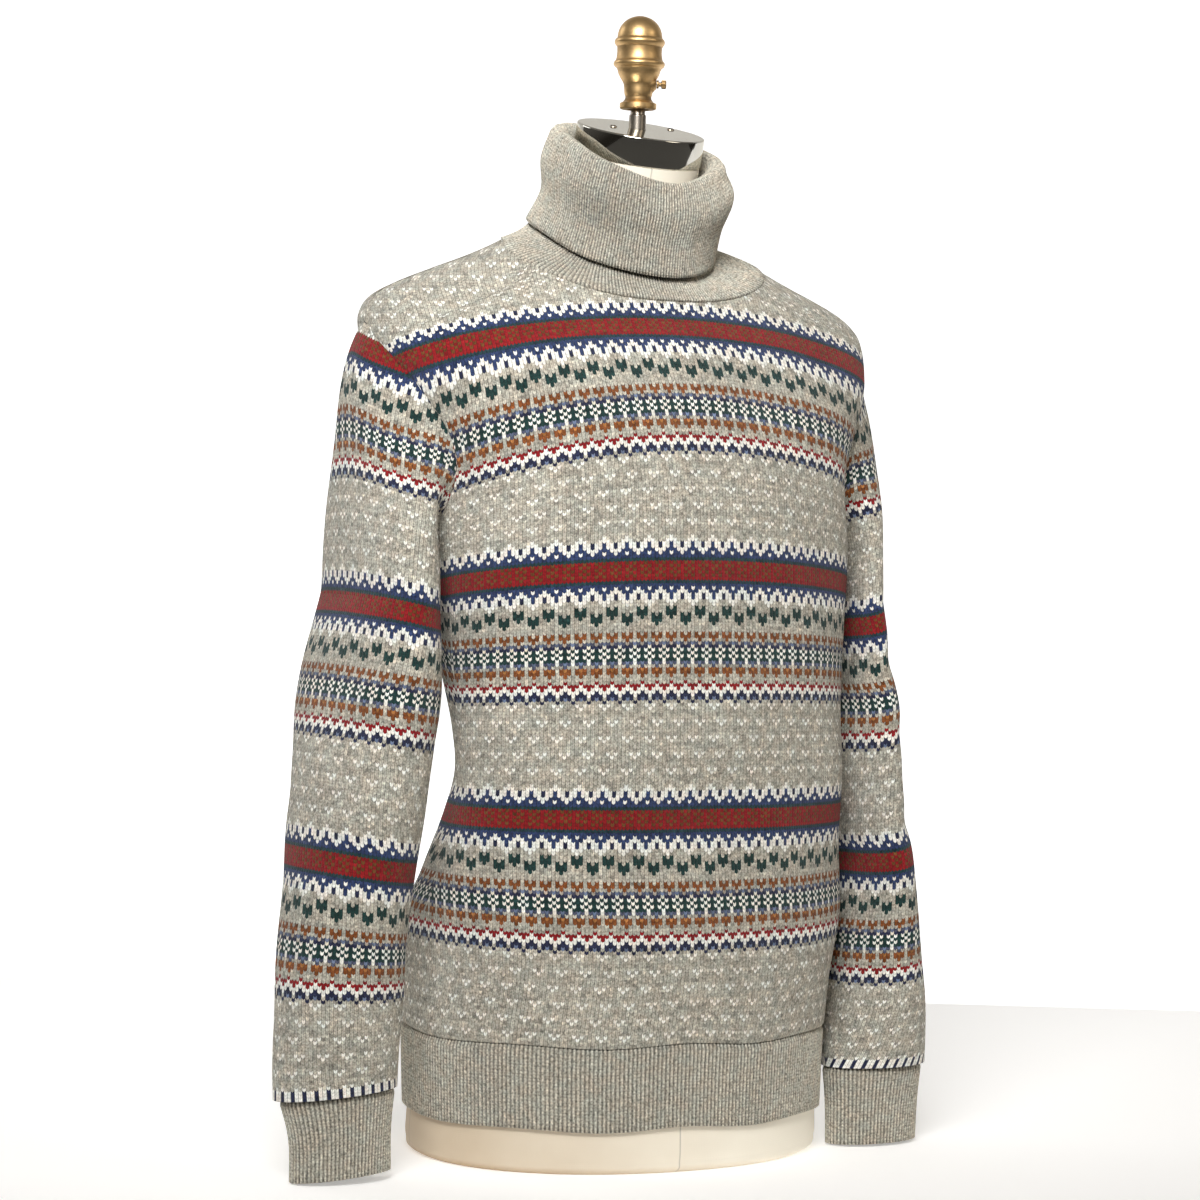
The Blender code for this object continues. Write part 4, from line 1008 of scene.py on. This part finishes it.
frontKnit = panel("frontKnit", -1, patterned)
backKnit = panel("backKnit", 1, patterned)
print("panels knitted")
rightSleeve, rightInside = sleevePiece("right", -1, patterned, ribbed)
leftSleeve, leftInside = sleevePiece("left", 1, patterned, ribbed)
print("sleeves knitted")
hemRib = ribbedBand("hemRib", "hem_rib", hem, body["sections"], hem["bottom"], hemSeam, ribbed)
rightCuff, leftCuff = (
    ribbedBand(side + "CuffRib", "cuff_" + side, cuff, rows, rows[-1][0], rows[0][0], ribbed, end)
    for side, rows, end in (("right", cuff["right"], -1), ("left", cuff["left"], 1)))
collarRib, collarLength = collarPiece(ribbed)
print("ribs knitted")
formTorso = torsoPiece(canvas)

chrome = metalPaint("chromePlate", (0.64, 0.625, 0.575), 0.05, 0.1, 30.0, (0.86, 0.84, 0.78))
steel = metalPaint("steelRod", (0.36, 0.32, 0.27), 0.3, 0.25, 80.0)
# near-black paint for the sheets that stand in for the shade in the screws' slots
slotShadePaint = metalPaint("paintedSlotShade", (0.05, 0.045, 0.04), 0.5, 0.1, 80.0)
capParts = capPieces(chrome, steel, slotShadePaint)
finialParts = finialPieces(brassPaint())
steelRod = rodPiece(steel)
print("metal turned")

for slotName, pieces in (
    ("patterned_knit", (frontKnit, backKnit, rightSleeve, leftSleeve)),
    ("grey_knit", (rightInside, leftInside, hemRib, rightCuff, leftCuff, collarRib)),
    ("cream_canvas", (formTorso,)), ("brushed_steel", (steelRod,)),
    ("polished_chrome", capParts), ("aged_brass", finialParts),
):
    for obj in pieces:
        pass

for obj, flat, rests, others in (
    (frontKnit, (0.485, 0.62), ["formTorso"], []),
    (backKnit, (0.485, 0.66), ["formTorso"], []),
    (rightSleeve, (0.36, 0.56), ["frontKnit", "backKnit"], [rightInside]),
    (leftSleeve, (0.35, 0.56), ["frontKnit", "backKnit"], [leftInside]),
    (hemRib, (1.02, 0.065), ["frontKnit", "backKnit"], []),
    (rightCuff, (0.215, 0.065), ["rightSleeveKnit"], []),
    (leftCuff, (0.215, 0.063), ["leftSleeveKnit"], []),
    (collarRib, (0.45, collarLength), ["formTorso", "frontKnit", "backKnit"], []),
):
    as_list(rests)
    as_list(others)


def areaLight(name, place, aim, size, power, spread, colour=(1, 1, 1)):
    data = bpy.data.lights.new(name, "AREA")
    data.shape = "RECTANGLE"
    data.size = data.size_y = size
    data.energy = power
    data.spread = math.radians(spread)
    data.color = colour
    light = addObject(name, data)
    light.location = place
    x, y, z = np.array(aim) - np.array(place)
    light.rotation_euler = (math.atan2(math.hypot(x, y), -z), 0, math.atan2(x, -y) + math.pi)


areaLight("keySoftbox", (-1.22, -1.52, 1.85), (-0.19, -0.05, 0.84), 1.0, 8.0, 54)
areaLight("fillSoftbox", (1.4, -1.9, 1.6), (0.18, -0.05, 0.66), 1.2, 0.7, 34, (1.0, 0.9, 0.76))
areaLight("backSoftbox", (-1.6, 2.2, 1.9), (0.0, 0.0, 0.5), 1.2, 10, 180)

paleGrey = (0.92, 0.92, 0.92)
floorGlow = 0.38

world = bpy.data.worlds.new("paleRoom")  # pale above, dark below the level of the floor
bpy.context.scene.world = world
world.use_nodes = True
room = world.node_tree
direction = room.nodes.new("ShaderNodeTexCoord")
parts = room.nodes.new("ShaderNodeSeparateXYZ")
room.links.new(direction.outputs[0], parts.inputs[0])
upward = (Wire(room, parts.outputs[2]) * 2.0 + 0.1).clamped()
background = room.nodes["Background"]
plug(room, background.inputs["Color"], upward.between((0.1, 0.09, 0.075), (1.0, 0.95, 0.87)))
background.inputs["Strength"].default_value = 0.2

floorPaint, backPaint = (
    Paint(name, {
        "Base Color": paleGrey, "Roughness": 0.9, "Emission Color": glow, "Emission Strength": strength})
    for name, glow, strength in (
        ("paleFloor", (1.0, 0.98, 0.95), floorGlow), ("paleBackdrop", (1, 1, 1), 0.82)))
front, back, bend = -0.33, 3.0, 1.5  # the floor's near edge, and where and how widely it bends up
profile = [(front, 0.0), (0.9, 0.0), (back, 0.0)]
for turn in np.linspace(0, math.pi / 2, 13)[1:]:
    profile.append((back + bend * math.sin(turn), bend - bend * math.cos(turn)))
profile += [(back + bend, 1.8), (back + bend, 6.0)]
turned = math.radians(-30)
sweep = []
for away, up in profile:
    halfWidth = min(0.8 + 2.2 * (away - front), 7.0)
    for across in (-halfWidth, halfWidth):
        x = across * math.cos(turned) - away * math.sin(turned)
        y = across * math.sin(turned) + away * math.cos(turned)
        sweep.append((x, y, up))
mesh = bpy.data.meshes.new("floorSweep")
faces = [(2 * i, 2 * i + 1, 2 * i + 3, 2 * i + 2) for i in range(len(profile) - 1)]
mesh.from_pydata(sweep, [], faces)
mesh.shade_smooth()
mesh.materials.append(floorPaint.material)
mesh.materials.append(backPaint.material)
for face in mesh.polygons:
    face.material_index = int(0 < face.index < len(faces) - 1)
floorSweep = addObject("floorSweep", mesh)

farPaint = Paint("farFloor", {"Roughness": 0.9})  # a painted pool of light: the floor is pale and glows near the form, and fades to dark grey further out
x, y, _ = farPaint.parts(farPaint.place())
poolOfLightFade = ((x * x + y * y) ** 0.5 - 0.36).clamped()
farPaint.set("Base Color", poolOfLightFade.between(paleGrey, (0.2, 0.195, 0.185)))
farPaint.set("Emission Color", poolOfLightFade.between((0.9, 0.88, 0.855), (0.05, 0.05, 0.05)))
farPaint.set("Emission Strength", floorGlow)
mesh = bpy.data.meshes.new("farFloor")
mesh.from_pydata([(x, y, -0.001) for x, y in ((-6, -6), (6, -6), (6, 6), (-6, 6))], [], [(0, 1, 2, 3)])
mesh.materials.append(farPaint.material)
farFloor = addObject("farFloor", mesh)

camera = {
    "azimuth": math.radians(30), "distance": 3.0, "height": 0.528, "roll": 0.0285,
    "focalPixels": 3690.0, "pictureSize": 1200.0, "axisPixel": (630.6, 495.0),
}
data = bpy.data.cameras.new("camera")
data.sensor_width = 36.0
data.lens = 36.0 * camera["focalPixels"] / camera["pictureSize"]
data.shift_x = (camera["pictureSize"] / 2 - camera["axisPixel"][0]) / camera["pictureSize"]
data.shift_y = (camera["axisPixel"][1] - camera["pictureSize"] / 2) / camera["pictureSize"]
data.clip_start = 0.1
data.clip_end = 50.0
eye = addObject("camera", data)
azimuth, away = camera["azimuth"], camera["distance"]
eye.location = (-away * math.sin(azimuth), -away * math.cos(azimuth), camera["height"])
eye.rotation_euler = (math.pi / 2, -camera["roll"], -azimuth)  # level, and turned a little in the picture
bpy.context.scene.camera = eye
bpy.context.scene.view_settings.view_transform = "Standard"
print("lights and camera set")
